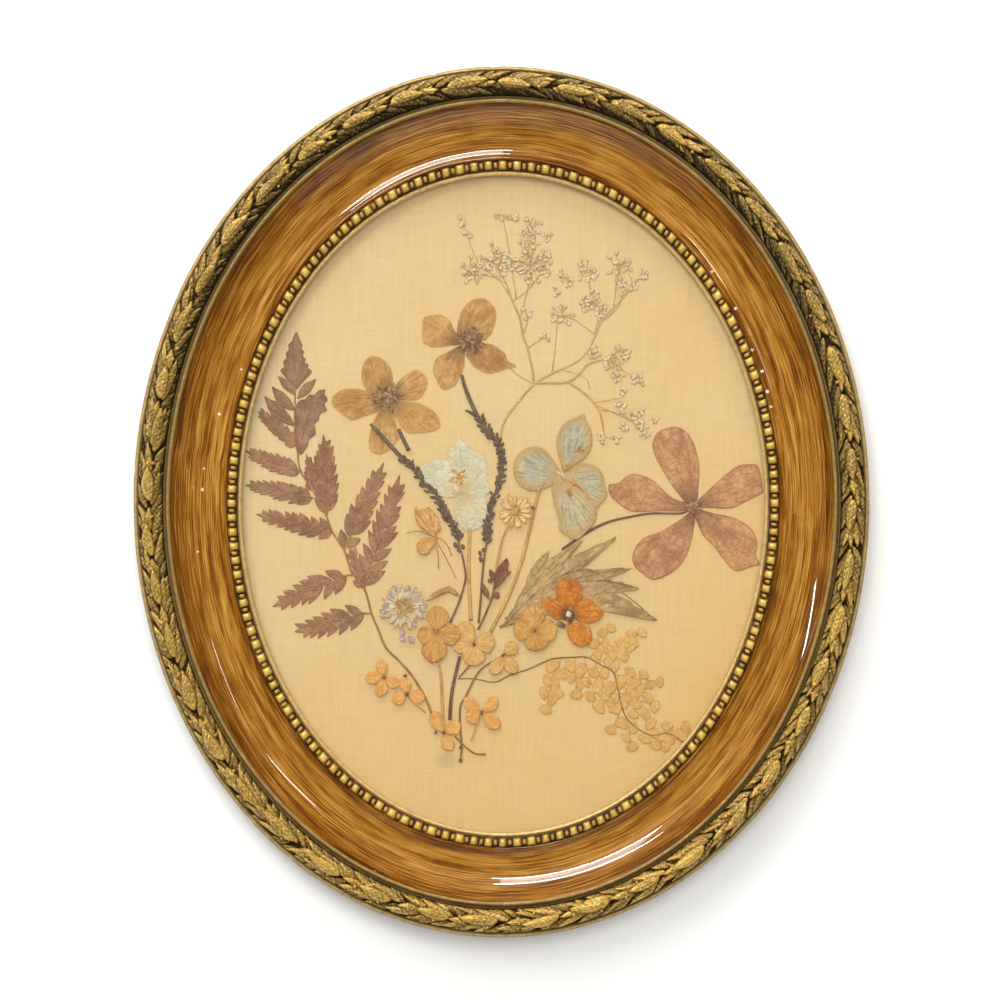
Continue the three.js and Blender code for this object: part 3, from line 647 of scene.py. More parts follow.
# The garland's top is the highest of its leaves and berries over a rounded body, with a little unevenness, and
# all of it falls towards both sides as a half circle does.
def makeGarland():
    dice = np.random.default_rng(laurel["seed"])
    columns, rows = laurel["columns"], laurel["rows"]
    girth = laurel["girth"]
    s = np.arange(columns) * girth / columns
    out = np.linspace(laurel["innerOut"], laurel["outerOut"], rows)
    w = (out - laurel["centreOut"])[:, None]
    span = (laurel["outerOut"] - laurel["innerOut"]) / 2
    middle = (laurel["outerOut"] + laurel["innerOut"]) / 2 - laurel["centreOut"]
    dome = np.sqrt(np.clip(1 - ((w - middle) / (span * 1.02)) ** 2, 0, 1))
    floor, spread = laurel["foot"] + laurel["floor"], laurel["spread"]
    top = floor + laurel["body"] * dome + np.zeros((1, columns))
    owner = np.full((rows, columns), 0.35)
    for bundle in range(laurel["bundles"]):
        start = bundle * (girth / laurel["bundles"]) + dice.uniform(-1.2, 1.2)
        leaves = [{
            "s": start + shift + dice.uniform(-1.5, 1.5), "w": spread * side + dice.uniform(-0.5, 0.5),
            "slant": slant + dice.uniform(-6, 6), "length": length * dice.uniform(0.85, 1.12),
            "width": spread * width * dice.uniform(0.85, 1.15), "level": level + dice.uniform(-0.3, 0.3),
            "rise": rise * dice.uniform(0.8, 1.02), "bend": dice.uniform(-0.9, 0.9),
            "curl": dice.uniform(0, 0.7),
        } for shift, side, slant, length, width, level, rise in laurel["leaves"]]
        for leaf in leaves:
            gap = (s - leaf["s"] + girth / 2) % girth - girth / 2
            near = np.where((gap > -8) & (gap < 30))[0]
            height, inside = leafHeight(leaf["s"] + gap[near][None], w, leaf)
            block = top[:, near]
            wins = inside & (height > block)
            top[:, near] = np.where(wins, height, block)
            owner[:, near] = np.where(wins, dice.uniform(0.15, 0.95), owner[:, near])
        for shift, across, radius in laurel["berries"]:
            gap = (s - start - shift + girth / 2) % girth - girth / 2
            near = np.where(np.abs(gap) < 2)[0]
            far = gap[near][None] ** 2 + (w - across) ** 2
            ball = laurel["berryLevel"] + np.sqrt(np.clip(radius ** 2 - far, 0, None)) * laurel["berryTall"]
            top[:, near] = np.where((far < radius ** 2) & (ball > top[:, near]), ball, top[:, near])
    top = floor + (top - floor) * dome ** 0.5
    waves = laurel["lumpWaves"]
    lumps = sum(
        laurel["lumpSize"] * np.sin(s[None] * 2 * np.pi * round(girth * along) / girth + w * across + start)
        for along, across, start in zip(
            dice.uniform(0.15, 0.75, waves), dice.uniform(-4, 4, waves), dice.uniform(0, 6.3, waves)))
    top = np.minimum(top + lumps, laurel["crest"])
    wide = top
    for reach in range(1, 6):
        wide = wide + np.roll(top, reach, 1) + np.roll(top, -reach, 1)
    wide = wide / 11
    padded = np.pad(wide, ((4, 4), (0, 0)), mode="edge")
    wide = sum(padded[i:i + rows] for i in range(9)) / 9
    near = (np.roll(top, 1, 1) + np.roll(top, -1, 1) + np.roll(top, 1, 0) + np.roll(top, -1, 0)) / 4
    # Relief: umber patina and painted shade in the hollows and along the leaf edges, gold on the raised leaves, and
    # a random tone for each leaf.
    relief = 0.46 + 0.34 * (top - wide) + 0.64 * (top - near) + 0.09 * (top - 31) + 0.24 * (owner - 0.5)
    turn = -s / girth * 2 * np.pi
    # Painted shade: round the top the relief is lowered, most on the inner half, which faces down and away from the
    # lamps above. The outer edge is a little darker all round.
    atTop = np.clip(0.35 + np.sin(turn), 0, 1)[None]
    relief -= atTop * (0.14 + 0.5 * np.clip(-w / span, 0, 1)) + 0.1 * np.clip(w / span - 0.6, 0, 1)
    relief = np.clip(relief, 0, 1)
    angle = evenAngle(turn)[None]
    skirt = ovalPoint(angle, np.array([[38.1], [38.2]]), np.array([[laurel["foot"]], [26.2]]))
    under = ovalPoint(angle, np.array([[49.8], [49.4]]), np.array([[26.6], [laurel["foot"]]]))
    points = np.concatenate([skirt, ovalPoint(angle, out[:, None], top), under])
    shade = np.concatenate([np.zeros((2, columns)), relief, np.full((2, columns), 0.1)])
    return bandPart(points, turn, shade, shade, np.zeros(len(points)))


makePiece("laurel_garland_gilt", makeGarland(), [garlandFinish], ["laurel_garland"])
print("garland made")


# Beads

beads = {
    "pairs": 132, "perPair": 14, "rows": 18, "inner": 2.3, "outer": 7.3, "middle": 4.9, "reach": 2.4,
    "low": 16.1, "lift": 0.6, "slope": 0.12, "crest": 20.8, "seed": 5,
    # half the length as a share of a pair, height and half the width of the large and small cushions
    "largeHalf": 0.29, "largeTall": 2.7, "largeWide": 0.94, "smallHalf": 0.14, "smallTall": 1.7,
    "smallWide": 0.62,
}


# Large cushions and small ones in turn: each is a blunt arch along the strip times one across it.
def makeBeads():
    dice = np.random.default_rng(beads["seed"])
    columns = beads["pairs"] * beads["perPair"]
    share = np.arange(columns) / beads["perPair"]
    which = np.floor(share + 0.5).astype(int) % beads["pairs"]
    out = np.linspace(beads["inner"], beads["outer"], beads["rows"])[:, None]
    across = (out - beads["middle"]) / beads["reach"]
    size = dice.uniform(0.82, 1.06, beads["pairs"])[which]
    fromLarge = (share - np.round(share)) / (beads["largeHalf"] * size)
    fromSmall = (share - np.floor(share) - 0.5) / beads["smallHalf"]
    cushion = lambda q: (1 - np.clip(np.abs(q), 0, 1) ** 3.4) ** 0.55
    large = beads["largeTall"] * size * cushion(fromLarge)[None] * cushion(across / beads["largeWide"])
    small = beads["smallTall"] * cushion(fromSmall)[None] * cushion(across / beads["smallWide"])
    height = beads["low"] + beads["slope"] * out + beads["lift"] + np.maximum(large, small)
    height = np.minimum(height, beads["crest"])
    tone = 0.1 * dice.uniform(-1, 1, beads["pairs"])[which]
    relief = np.clip(0.36 * (height - beads["low"] - 1.3) + tone, 0, 1)
    turn = share / beads["pairs"] * 2 * np.pi
    angle = evenAngle(turn)[None]
    under = ovalPoint(angle, np.array([[6.9], [2.6]]), np.array([[16.6], [16.0]]))
    points = np.concatenate([ovalPoint(angle, out, height), under])
    shade = np.concatenate([relief, np.zeros((2, columns))])
    return bandPart(points, turn, shade, shade, np.zeros(len(points)))


makePiece("cushion_beads", makeBeads(), [beadFinish], ["beaded_sight_edge"])
print("beads made")


# Silk, glass and back

silk = {
    "pale": tint(219, 192, 146), "warm": tint(215, 175, 108), "stain": tint(176, 148, 106), "weave": 3900.0,
    # the grey stain: its colour, middle (x, z) and half sizes in metres
    "spill": tint(150, 132, 104), "spillAt": (-0.0285, -0.3208), "spillHalf": (0.006, 0.004),
}


# Plain woven silk: fine threads and slubs over a softly varying tone that grows warmer and darker towards the
# bottom and right, with a faint grey stain low in the middle.
def makeSilk(look):
    material, tree, shader, _ = newFinish("yellowed_silk", Roughness=0.8, Sheen_Weight=0.15,
                                          Sheen_Roughness=0.5)
    space = objectSpace(tree)
    x, _, z = split(tree, space)
    weave = useGroup(tree, weaveGroup, {"Vector": space, "Pitch": look["weave"]})
    age = noise(tree, space, 9.0, 3.0, 0.55)
    low = remap(tree, z, -0.03, -0.33)
    right = remap(tree, x, -0.13, 0.14)
    tone = plus(tree, times(tree, low, 0.45), times(tree, right, 0.35))
    tone = plus(tree, tone, times(tree, less(tree, age, 0.5), 0.9))
    colour = mixColours(tree, remap(tree, tone, 0.0, 0.8), look["pale"], look["warm"])
    thread = times(tree, weave["Mask"], 0.07)
    slub = remap(tree, weave["Slub"], 0.40, 0.60, 0.0, 0.22)
    colour = mixColours(tree, plus(tree, thread, slub), colour, look["stain"])
    spot = noise(tree, space, 240.0, 2.0)
    colour = mixColours(tree, remap(tree, spot, 0.74, 0.80, 0.0, 0.25), colour, look["stain"])
    dx, dz = (
        calc(tree, "POWER", calc(tree, "DIVIDE", less(tree, value, middle), half), 2.0)
        for value, middle, half in zip((x, z), look["spillAt"], look["spillHalf"]))
    spill = remap(tree, plus(tree, dx, dz), 0.0, 1.4, 0.3, 0.0)
    colour = mixColours(tree, spill, colour, look["spill"])
    tree.links.new(colour, shader.inputs["Base Color"])
    relief = plus(tree, weave["Mask"], weave["Slub"])
    tree.links.new(bump(tree, relief, 0.25, 0.00012), shader.inputs["Normal"])
    return material


# Clear picture glass that lets light through to the silk without a caustic.
def makeGlass():
    material, tree, shader, leave = newFinish(
        "picture_glass", Base_Color=(1.0, 1.0, 1.0, 1.0), Roughness=0.0, IOR=1.5, Transmission_Weight=1.0)
    clear = addNode(tree, "BsdfTransparent", {"Color": (0.97, 0.98, 0.97, 1.0)})
    path = addNode(tree, "LightPath")
    soft = calc(tree, "MAXIMUM", path.outputs["Is Shadow Ray"], path.outputs["Is Diffuse Ray"])
    both = addNode(tree, "MixShader", {0: soft, 1: shader.outputs[0], 2: clear.outputs[0]})
    tree.links.new(both.outputs[0], leave.inputs["Surface"])
    smear = remap(tree, noise(tree, objectSpace(tree), 30.0, 3.0), 0.4, 0.8, 0.0, 0.02)
    tree.links.new(smear, shader.inputs["Roughness"])
    return material


# Brown pulp board: mottled fibres with darker clouds.
def makeBoard():
    material, tree, shader, _ = newFinish("brown_pulp_board", Roughness=0.9)
    space = objectSpace(tree)
    fibre = noise(tree, space, 380.0, 5.0, 0.7)
    cloud = noise(tree, space, 16.0, 3.0)
    colour = ramp(tree, fibre, [(0.3, tint(120, 92, 62)), (0.5, tint(150, 120, 84)),
                                (0.72, tint(176, 146, 108))])
    colour = mixColours(tree, remap(tree, cloud, 0.45, 0.75, 0.0, 0.5), colour, tint(112, 84, 54))
    tree.links.new(colour, shader.inputs["Base Color"])
    tree.links.new(bump(tree, fibre, 0.35, 0.0004), shader.inputs["Normal"])
    return material


# Dull plated steel: fine rolled scratches and brown tarnish spots.
def makeSteel():
    material, tree, shader, _ = newFinish("dull_plated_steel", Metallic=0.9, Roughness=0.42)
    space = objectSpace(tree)
    x, _, z = split(tree, space)
    rolled = stretchedNoise(tree, x, z, 200.0, 5200.0)
    rust = remap(tree, noise(tree, space, 420.0, 4.0), 0.56, 0.68, 0.0, 0.8)
    colour = mixColours(tree, rust, tint(176, 170, 158), tint(110, 78, 50))
    tree.links.new(colour, shader.inputs["Base Color"])
    tree.links.new(remap(tree, rolled, 0.3, 0.7, 0.3, 0.55), shader.inputs["Roughness"])
    tree.links.new(bump(tree, rolled, 0.15, 0.0001), shader.inputs["Normal"])
    return material


silkFinish, glassFinish, boardFinish, steelFinish = makeSilk(silk), makeGlass(), makeBoard(), makeSteel()
hardware = ["sawtooth_hanger", "hanger_nail_left",
            "hanger_nail_right"] + [f"retaining_point_{i}" for i in range(1, 7)]
dressed = {"silk_covered_board": silkFinish, "glass_pane": glassFinish, "backing_board": boardFinish}
dressed.update({name: steelFinish for name in hardware})
for name, finish in dressed.items():
    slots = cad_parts[name].material_slots
    for index in range(len(slots)):
        slots[index].material = finish
print("silk, glass, board and hardware finished")


# Shapes of pressed plants

# A Catmull-Rom spline: each stretch is a cubic in the share t, from its four nearest points. The neighbours of
# each point come from the given rule.
def spline(points, at, neighbour):
    index = np.floor(at).astype(int)
    t = (at - index)[:, None]
    a, b, c, d = (points[neighbour(index + shift)] for shift in (-1, 0, 1, 2))
    return 0.5 * (2 * b + (c - a) * t + (2 * a - 5 * b + 4 * c - d) * t ** 2 + (3 * b - a - 3 * c + d) * t ** 3)


# A closed curve through its points: the spline at even steps, its ends joined.
def smoothLoop(points, count):
    points = np.asarray(points, float)
    return spline(points, np.arange(count) * len(points) / count, lambda index: index % len(points))


# An open curve through its points: the spline with its end points held.
def smoothPath(points, count):
    points = np.asarray(points, float)
    at = np.linspace(0, len(points) - 1.000001, count)
    return spline(points, at, lambda index: np.clip(index, 0, len(points) - 1))


# How far round a base point, and how far from it, each point lies; round is 0 towards the middle of them.
def fanOf(flat, base):
    away = flat - onSheet(base)
    heading = away.reshape(-1, 2).mean(0)
    angle = np.arctan2(away[..., 1], away[..., 0]) - math.atan2(heading[1], heading[0])
    return (angle + np.pi) % (2 * np.pi) - np.pi, np.linalg.norm(away, axis=-1)


# Small creases: the sum of a few slanting sine waves of random direction and length.
def creases(flat, size):
    total = np.zeros(flat.shape[:-1])
    for _ in range(5):
        heading, length, phase = (plantDice.uniform(*span) for span in ((0, 6.3), (2.2, 7.0), (0, 6.3)))
        run = flat[..., 0] * math.cos(heading) + flat[..., 1] * math.sin(heading)
        total += size * 0.45 * np.sin(run * 2 * np.pi / length + phase)
    return total


# The height of a layer, raised by a little.
def levelOf(layer, lift=0.0):
    return pressed["firstLayer"] + pressed["layerStep"] * layer + lift


# Points on the silk with their heights.
def atHeight(flat, height):
    return np.stack([flat[..., 0], height, flat[..., 1]], -1)


# The point that lies a distance from another, at an angle.
def pointFrom(centre, turn, far):
    return centre[0] + far * math.cos(turn), centre[1] + far * math.sin(turn)


# A part's own lot, or one drawn by chance.
def drawLot(lot, low=0.05, high=0.95):
    return plantDice.uniform(low, high) if lot is None else lot


plantDice = np.random.default_rng(23)


# A petal: rings drawn in from a smooth outline towards its middle. The front is a low dome with creases that
# fade at the thin edge, and the back is flat.
def petal(outline, base, layer, lift=0.0, lot=None, finish=0, sides=44, rings=7, crease=0.07, thick=0.1,
          ragged=0.0):
    loop = onSheet(smoothLoop(outline, sides))
    middle = loop.mean(0)
    if ragged:
        loop = middle + (loop - middle) * (1 + ragged * plantDice.uniform(-1, 1, sides))[:, None]
    share = np.append(pressed["innerReach"] * (np.arange(1, rings) / (rings - 1)) ** 0.85, 1.0)
    reach = np.append(share, pressed["backReach"])
    flat = middle + (loop - middle)[None] * reach[:, None, None]
    level = levelOf(layer, lift)
    fade = (1 - share ** 5)[:, None]
    front = level + pressed["edge"] + (thick + np.abs(creases(flat[:rings], crease))) * fade
    height = np.concatenate([front, np.full((2, sides), level)])
    fan, away = fanOf(flat, base)
    rim = np.broadcast_to(np.append(share, [1.0, 1.0])[:, None], fan.shape)
    first, last = (atHeight(middle, top) for top in (level + pressed["edge"] + thick, level))
    return closedForm(
        atHeight(flat, height), first, last, np.stack([fan, away, rim], -1), drawLot(lot), finish, rings - 1)


# A leaf between two side lines that share a base and a tip: rows run from side to side, arched by a
# half sine, over a flat back. Sides are cell lists of any length.
def leafBand(sideA, sideB, layer, lot, rows, crease, thick=0.12):
    def spaced(side):
        side = np.asarray(side, float)
        run = np.concatenate([[0], np.cumsum(np.linalg.norm(np.diff(side, axis=0), axis=1))])
        at = np.linspace(0.006, 0.994, rows) * run[-1]
        return onSheet(np.stack([np.interp(at, run, side[:, k]) for k in (0, 1)], -1))
    a, b = spaced(sideA), spaced(sideB)
    v = np.linspace(0, 1, 9)
    across = np.concatenate([v, v[::-1][1:-1]])
    flat = a[:, None] + (b - a)[:, None] * across[None, :, None]
    onFront = np.concatenate([np.ones(9), np.zeros(7)])
    arch = np.sin(np.pi * across) ** 0.6 * onFront
    level = levelOf(layer)
    height = level + (pressed["edge"] + thick + np.abs(creases(flat, crease))) * arch[None]
    fan = (across - 0.5)[None] * 1.6
    away = np.linspace(0, 60, rows)[:, None]
    rim = np.abs(across - 0.5)[None] * 2
    place = np.stack(np.broadcast_arrays(fan, away, rim), -1)
    start, end = (atHeight(onSheet(sideA[i]), level) for i in (0, -1))
    return closedForm(atHeight(flat, height), start, end, place, lot, 0)


# A stem: an oval section carried along a smooth path, its width running evenly between the given widths.
def stem(path, widths, layer, lift=0.0, lot=None, finish=0, sides=8, thick=0.16, waver=0.0):
    path = np.asarray(path, float)
    long = np.linalg.norm(np.diff(path, axis=0), axis=1).sum()
    count = int(max(6, min(90, long / 4)))
    line = smoothPath(path, count)
    if waver:
        line[1:-1] += plantDice.normal(0, waver, (count - 2, 2))
    line = onSheet(line)
    along = np.gradient(line, axis=0)
    along /= np.linalg.norm(along, axis=1, keepdims=True)
    across = np.stack([-along[:, 1], along[:, 0]], -1)
    half = np.interp(np.linspace(0, 1, count), np.linspace(0, 1, len(widths)), widths) * sheetGrid["cell"] / 2
    turn = np.arange(sides) * 2 * np.pi / sides
    flat = line[:, None] + across[:, None] * (np.cos(turn)[None, :] * half[:, None])[..., None]
    deep = np.minimum(thick, half)[:, None]
    level = levelOf(layer, lift)
    height = level + deep * (1 + np.sin(turn))[None]
    run = np.linspace(0, long * sheetGrid["cell"], count)[:, None]
    place = np.stack(np.broadcast_arrays(np.cos(turn)[None], run, np.abs(np.cos(turn))[None]), -1)
    start, end = (atHeight(line[i], level + deep[0, 0]) for i in (0, -1))
    return closedForm(atHeight(flat, height), start, end, place, drawLot(lot), finish)


# A small rounded bud: four rings of a flattened ball with a lumpy outline.
def bud(centre, size, layer, lift=0.0, lot=None, finish=0, slant=0.0, long=1.0, sides=10, tall=0.3):
    turn = np.arange(sides) * 2 * np.pi / sides
    lumps = 1 + plantDice.uniform(-0.16, 0.16, sides)
    levels = np.array([0.35, 0.8, 1.0, 0.75])
    raised = np.array([1.0, 0.75, 0.35, 0.0])
    x = np.cos(turn)[None] * levels[:, None] * lumps * size * long
    y = np.sin(turn)[None] * levels[:, None] * lumps * size
    cosine, sine = math.cos(slant), math.sin(slant)
    flat = onSheet(np.stack([centre[0] + x * cosine - y * sine, centre[1] + x * sine + y * cosine], -1))
    level = levelOf(layer, lift)
    height = level + tall * raised[:, None] + 0 * x
    place = np.stack(np.broadcast_arrays(turn[None], levels[:, None] * size, levels[:, None]), -1)
    top, bottom = (atHeight(onSheet(centre), at) for at in (level + tall * 1.06, level))
    return closedForm(atHeight(flat, height), top, bottom, place, drawLot(lot, 0.02, 0.98), finish)


# A lens-shaped outline: half its width is a sine of the share along, raised so that it is widest where asked
# and to the power blunt, which rounds its ends where it is small.
def lens(base, tip, width, widest=0.5, bend=0.0, steps=7, blunt=1.0):
    base, tip = np.asarray(base, float), np.asarray(tip, float)
    way = tip - base
    side = np.array([-way[1], way[0]]) / np.linalg.norm(way)
    share = np.linspace(0, 1, steps + 2)
    power = math.log(0.5) / math.log(widest)
    half = width / 2 * np.clip(np.sin(np.pi * share ** power), 0, 1) ** blunt
    line = base + way * share[:, None] + side * (bend * np.sin(np.pi * share))[:, None]
    return np.concatenate([line + side * half[:, None], (line - side * half[:, None])[-2:0:-1]])


plainLook = {
    "bodies": [(200, 160, 110), (190, 150, 100)], "deep": (150, 110, 70), "deepAmount": 0.7, "cloud": 110.0,
    "pale": (225, 195, 150), "paleAmount": 0.5, "vein": (150, 110, 70), "veinAmount": 0.6, "veinCount": 11.0,
    "rim": (150, 105, 60), "rimFrom": 0.86, "rimAmount": 0.6, "throat": (140, 100, 60), "throatReach": 4.0,
    "throatAmount": 0.0, "roughness": 0.75, "crinkle": 0.45, "net": 420.0, "netAmount": 0.25,
}


# A dry plant finish: body colour by each part's lot, clouded darker and paler, with fan veins, a net of fine
# wrinkles, a tinted rim and a tinted throat near the base. Colours are given in 0-255.
def makeDryFinish(name, **changes):
    look = {**plainLook, **changes}
    shade = {key: tint(*look[key]) for key in ("deep", "pale", "vein", "rim", "throat")}
    material, tree, shader, _ = newFinish(name, Roughness=look["roughness"], Specular_IOR_Level=0.2)
    place = mark(tree, "place").outputs["Vector"]
    lot = mark(tree, "lot").outputs["Fac"]
    _, along, rim = split(tree, place)
    space = objectSpace(tree)
    bodies = [tint(*body) for body in look["bodies"]]
    colour = ramp(tree, lot, [(i / (len(bodies) - 1), body) for i, body in enumerate(bodies)])
    cloud = noise(tree, space, look["cloud"], 4.0, 0.65)
    other = noise(tree, space, look["cloud"] * 2.6, 4.0, 0.7)
    veins = useGroup(tree, veinsGroup, {"Place": place, "Lot": lot, "Count": look["veinCount"]})["Mask"]
    swirl = addNode(tree, "TexNoise", {"Vector": space, "Scale": 180.0}).outputs["Color"]
    bent = mixColours(tree, 0.004, space, swirl)
    cells = addNode(tree, "TexVoronoi", {"Vector": bent, "Scale": look["net"]}, feature="DISTANCE_TO_EDGE")
    net = remap(tree, cells.outputs["Distance"], 0.0, 0.14, 1.0, 0.0)
    for share, second in (
        (times(tree, net, look["netAmount"]), "vein"),
        (remap(tree, cloud, 0.46, 0.62, 0.0, look["deepAmount"]), "deep"),
        (remap(tree, other, 0.48, 0.64, 0.0, look["paleAmount"]), "pale"),
        (remap(tree, veins, 0.50, 0.60, 0.0, look["veinAmount"]), "vein"),
        (remap(tree, rim, look["rimFrom"], 1.0, 0.0, look["rimAmount"]), "rim"),
        (remap(tree, along, look["throatReach"], look["throatReach"] * 0.2, 0.0, look["throatAmount"]),
         "throat"),
    ):
        colour = mixColours(tree, share, colour, shade[second])
    tree.links.new(colour, shader.inputs["Base Color"])
    relief = plus(tree, times(tree, veins, 0.8), other)
    relief = less(tree, relief, times(tree, net, 0.5))
    tree.links.new(bump(tree, relief, look["crinkle"], 0.0004), shader.inputs["Normal"])
    return material


# Fern

fern = {
    "rachis": [
        (296, 380), (295, 396), (294.5, 439), (297.3, 453.4), (300.2, 472.3), (312.8, 491.9), (325.4, 515.8),
        (332.4, 534), (343.7, 550.9), (352.1, 574.7), (364.7, 591.5), (371.7, 615.4), (378.7, 632.2),
        (386.3, 649.8), (400.3, 663.8), (410.2, 675), (417.9, 686.3), (427, 703), (434, 722)],
    # base, tip, width, pairs of lobes, how far the lobes lean from the midrib, how much a lobe fills its share
    "fronds": [
        ((295, 397), (277.7, 378), 9, 0, 0, 0), ((296.6, 401), (315.7, 381), 10, 0, 0, 0),
        ((295, 413), (271.7, 388.5), 12, 0, 0, 0), ((294.5, 428), (263.6, 398), 14, 0, 0, 0),
        ((296, 447), (257, 413), 19, 7, 34, 1.45), ((300.2, 474), (244.6, 452.4), 23, 8, 36, 1.35),
        ((312, 493), (322.5, 448), 19, 5, 36, 1.2), ((311, 492), (306, 455), 12, 4, 32, 1.2),
        ((313, 500), (244, 487), 24, 8, 36, 1.25), ((327, 517), (323, 436), 29, 7, 36, 1.15),
        ((333, 534), (255, 516), 27, 8, 38, 1.15), ((344, 552), (384, 464), 30, 7, 36, 1.05),
        ((364, 592), (400, 476), 36, 9, 38, 1.0), ((362, 590), (349, 549), 18, 4, 34, 1.05),
        ((347, 577.6), (272, 609), 31, 6, 38, 1.0), ((365, 615), (294, 634), 32, 6, 38, 1.0)],
    # toothed blades drawn by their outlines, each with its base
    "blades": [
        ([(296.2, 333.6), (299, 340), (302.1, 347.1), (300.8, 350), (303.9, 353.6), (302.6, 357.4),
         (305.6, 361.2), (304.4, 364), (308.5, 366.6), (307, 370.4), (311.8, 373.1), (307, 379), (300, 387),
         (296.2, 391), (291, 386), (285, 379), (280, 372), (283.6, 369), (282.8, 363.5), (286, 360),
         (285.4, 355), (288.4, 351), (288, 346.5), (291.4, 343), (293.2, 338)], (296, 392)),
        ([(296.2, 406.8), (300, 402), (305, 401), (309, 396.6), (314, 396.6), (318, 392.5), (324.9, 391.5),
         (324.4, 396), (327.5, 401.5), (324.4, 406), (326.6, 412.6), (320, 416), (318.4, 422), (314.4, 426),
         (315.6, 436), (309.4, 441), (307, 449), (299.4, 456.6), (295.5, 440), (294.8, 420)], (298, 455))],
    "stalks": [[(352.1, 577), (343, 578)], [(371, 615.6), (361, 615)]],
}
fernFinish = makeDryFinish(
    "dried_fern", bodies=[(154, 114, 86), (164, 118, 84), (146, 112, 90)], deep=(120, 82, 62),
    deepAmount=0.65, pale=(184, 142, 106), paleAmount=0.5, vein=(118, 82, 62), veinAmount=0.5, veinCount=6.0,
    rim=(120, 82, 58), rimFrom=0.78, rimAmount=0.5, cloud=80.0, crinkle=0.6)
fernStalkFinish = makeDryFinish(
    "fern_stalk", bodies=[(156, 114, 72), (172, 130, 82)], deep=(118, 84, 58), pale=(196, 156, 104))


# A leaflet: lens lobes in pairs leaning forwards from a midrib, their reach falling with the share of the
# length that is left, and a narrow lens for the tip.
def leaflet(base, tip, width, pairs, leanAngle, fill, layer):
    base, tip = np.array(base, float), np.array(tip, float)
    way = tip - base
    length = np.linalg.norm(way)
    ahead = way / length
    side = np.array([-ahead[1], ahead[0]])
    bend = plantDice.uniform(-1.5, 1.5)
    if not pairs:
        return [petal(lens(base, tip, width, 0.5, bend), base, layer, 0.02, None, 0, 30, 5, 0.06,
                      ragged=0.06)]
    tipOutline = lens(base + way * 0.55, tip, width * 0.32, 0.4, bend * 0.5)
    parts = [petal(tipOutline, base, layer, 0.07, None, 0, 26, 5, 0.05)]
    parts.append(stem([base, base + way * 0.8], [1.6, 1.0], layer, 0.05, None, 1, 6, 0.08))
    for pair in range(pairs):
        share = 0.01 + 0.86 * (pair / pairs) ** 0.96
        swell = (1 - share) ** 0.55 * (0.8 + 0.2 * min(1.0, share * 5))
        for hand in (-1, 1):
            lean = math.radians(leanAngle + plantDice.uniform(-4, 4) - 10 * share)
            reach = width / 2 / math.sin(lean) * swell * plantDice.uniform(0.9, 1.06)
            start = base + way * (share + (0.03 if hand > 0 else 0)) + side * bend * math.sin(math.pi * share)
            end = start + (ahead * math.cos(lean) + side * hand * math.sin(lean)) * reach
            broad = length * 0.72 / pairs * fill * (1 - 0.35 * share) * plantDice.uniform(0.9, 1.06)
            lift = 0.02 + 0.05 * ((pair + (hand > 0)) % 2)
            outline = lens(start, end, broad, 0.45, plantDice.uniform(-0.5, 0.5) - 0.8 * hand, 7, 0.92)
            parts.append(petal(outline, start, layer, lift, None, 0, 20, 4, 0.05, ragged=0.03))
    return parts


fernParts = [stem(fern["rachis"], [1.4, 1.8, 2.2, 2.6], 0, 0.12, 0.4, 1)]
for frond in fern["fronds"]:
    fernParts += leaflet(*frond, 0)
fernParts += [petal(outline, base, 0, 0.04, 0.9, 0, 84, 9, 0.08) for outline, base in fern["blades"]]
fernParts += [stem(path, [1.9, 1.7], 0, 0.1, 0.5, 1) for path in fern["stalks"]]
pressPiece("fern_frond", fernParts, [fernFinish, fernStalkFinish])
print("fern made")


# Flowers with broad petals

# Each flower's outlines, one list of cells a petal, from the lowest petal to the topmost.
amber = {
    "rightCentre": (461.7, 344.5), "rightStamens": (471.5, 341.7), "leftCentre": (387.3, 400),
    "right": [
        [(481.4, 346), (492.6, 346.6), (505.2, 355.8), (508, 362.8), (516.4, 368.4), (505.2, 371.2),
         (487, 375.4), (471.5, 365.6), (466, 352)],
        [(462.7, 347.6), (446, 355), (436.5, 360), (433, 369.8), (435, 378.2), (442.8, 391.5), (454.7, 386.6),
         (461.7, 375.4), (464.5, 364.2)],
        [(462, 345), (446.3, 347.8), (432.2, 348.8), (423, 343), (422, 332), (424, 319.3), (440.7, 316.5),
         (449, 322), (454.7, 332)],
        [(464, 344), (457.5, 336), (458, 323.5), (463, 311), (473, 301.7), (484, 300.3), (492.6, 306.7),
         (496, 316.5), (494, 327.7), (489.8, 337.5), (480, 343)]],
    "left": [
        [(384, 408), (376, 418), (370.5, 431.5), (369, 448.4), (376, 456), (386, 454), (398.6, 441.4),
         (398.6, 434.3), (392, 412)],
        [(387, 399), (371.9, 393.7), (355, 390.8), (341, 392.2), (331.2, 402), (336.8, 411.9), (348, 420.3),
         (353.7, 421.7), (366.3, 417.5), (382, 411)],
        [(390, 401), (404.2, 403.5), (418.2, 404.9), (432.2, 411.9), (438.6, 420.3), (439.3, 430),
         (426.6, 434.3), (409.8, 435), (401.4, 428.7), (392, 412)],
        [(390, 399), (395.8, 386.6), (404.2, 378.2), (416.8, 371.9), (427.3, 381), (425.2, 392.2),
         (418.2, 400.7), (405, 402)],
        [(385, 402), (371, 396.5), (362, 383.8), (362, 369.8), (367.7, 360), (376, 357.9), (384.5, 362.8),
         (391.6, 372.6), (392, 390)]],
}
amberFinish = makeDryFinish(
    "amber_petals", bodies=[(190, 145, 86), (180, 134, 80), (198, 156, 94)], deep=(156, 108, 62),
    pale=(214, 176, 118), vein=(150, 102, 60), veinCount=13.0, rim=(196, 148, 84), rimFrom=0.8,
    rimAmount=0.7, throat=(116, 86, 66), throatReach=12.0, throatAmount=0.9, cloud=70.0)
stamenFinish = makeDryFinish(
    "dark_stamens", bodies=[(84, 62, 50), (124, 92, 66), (190, 146, 92)], deep=(70, 50, 40),
    deepAmount=0.5, crinkle=0.6)


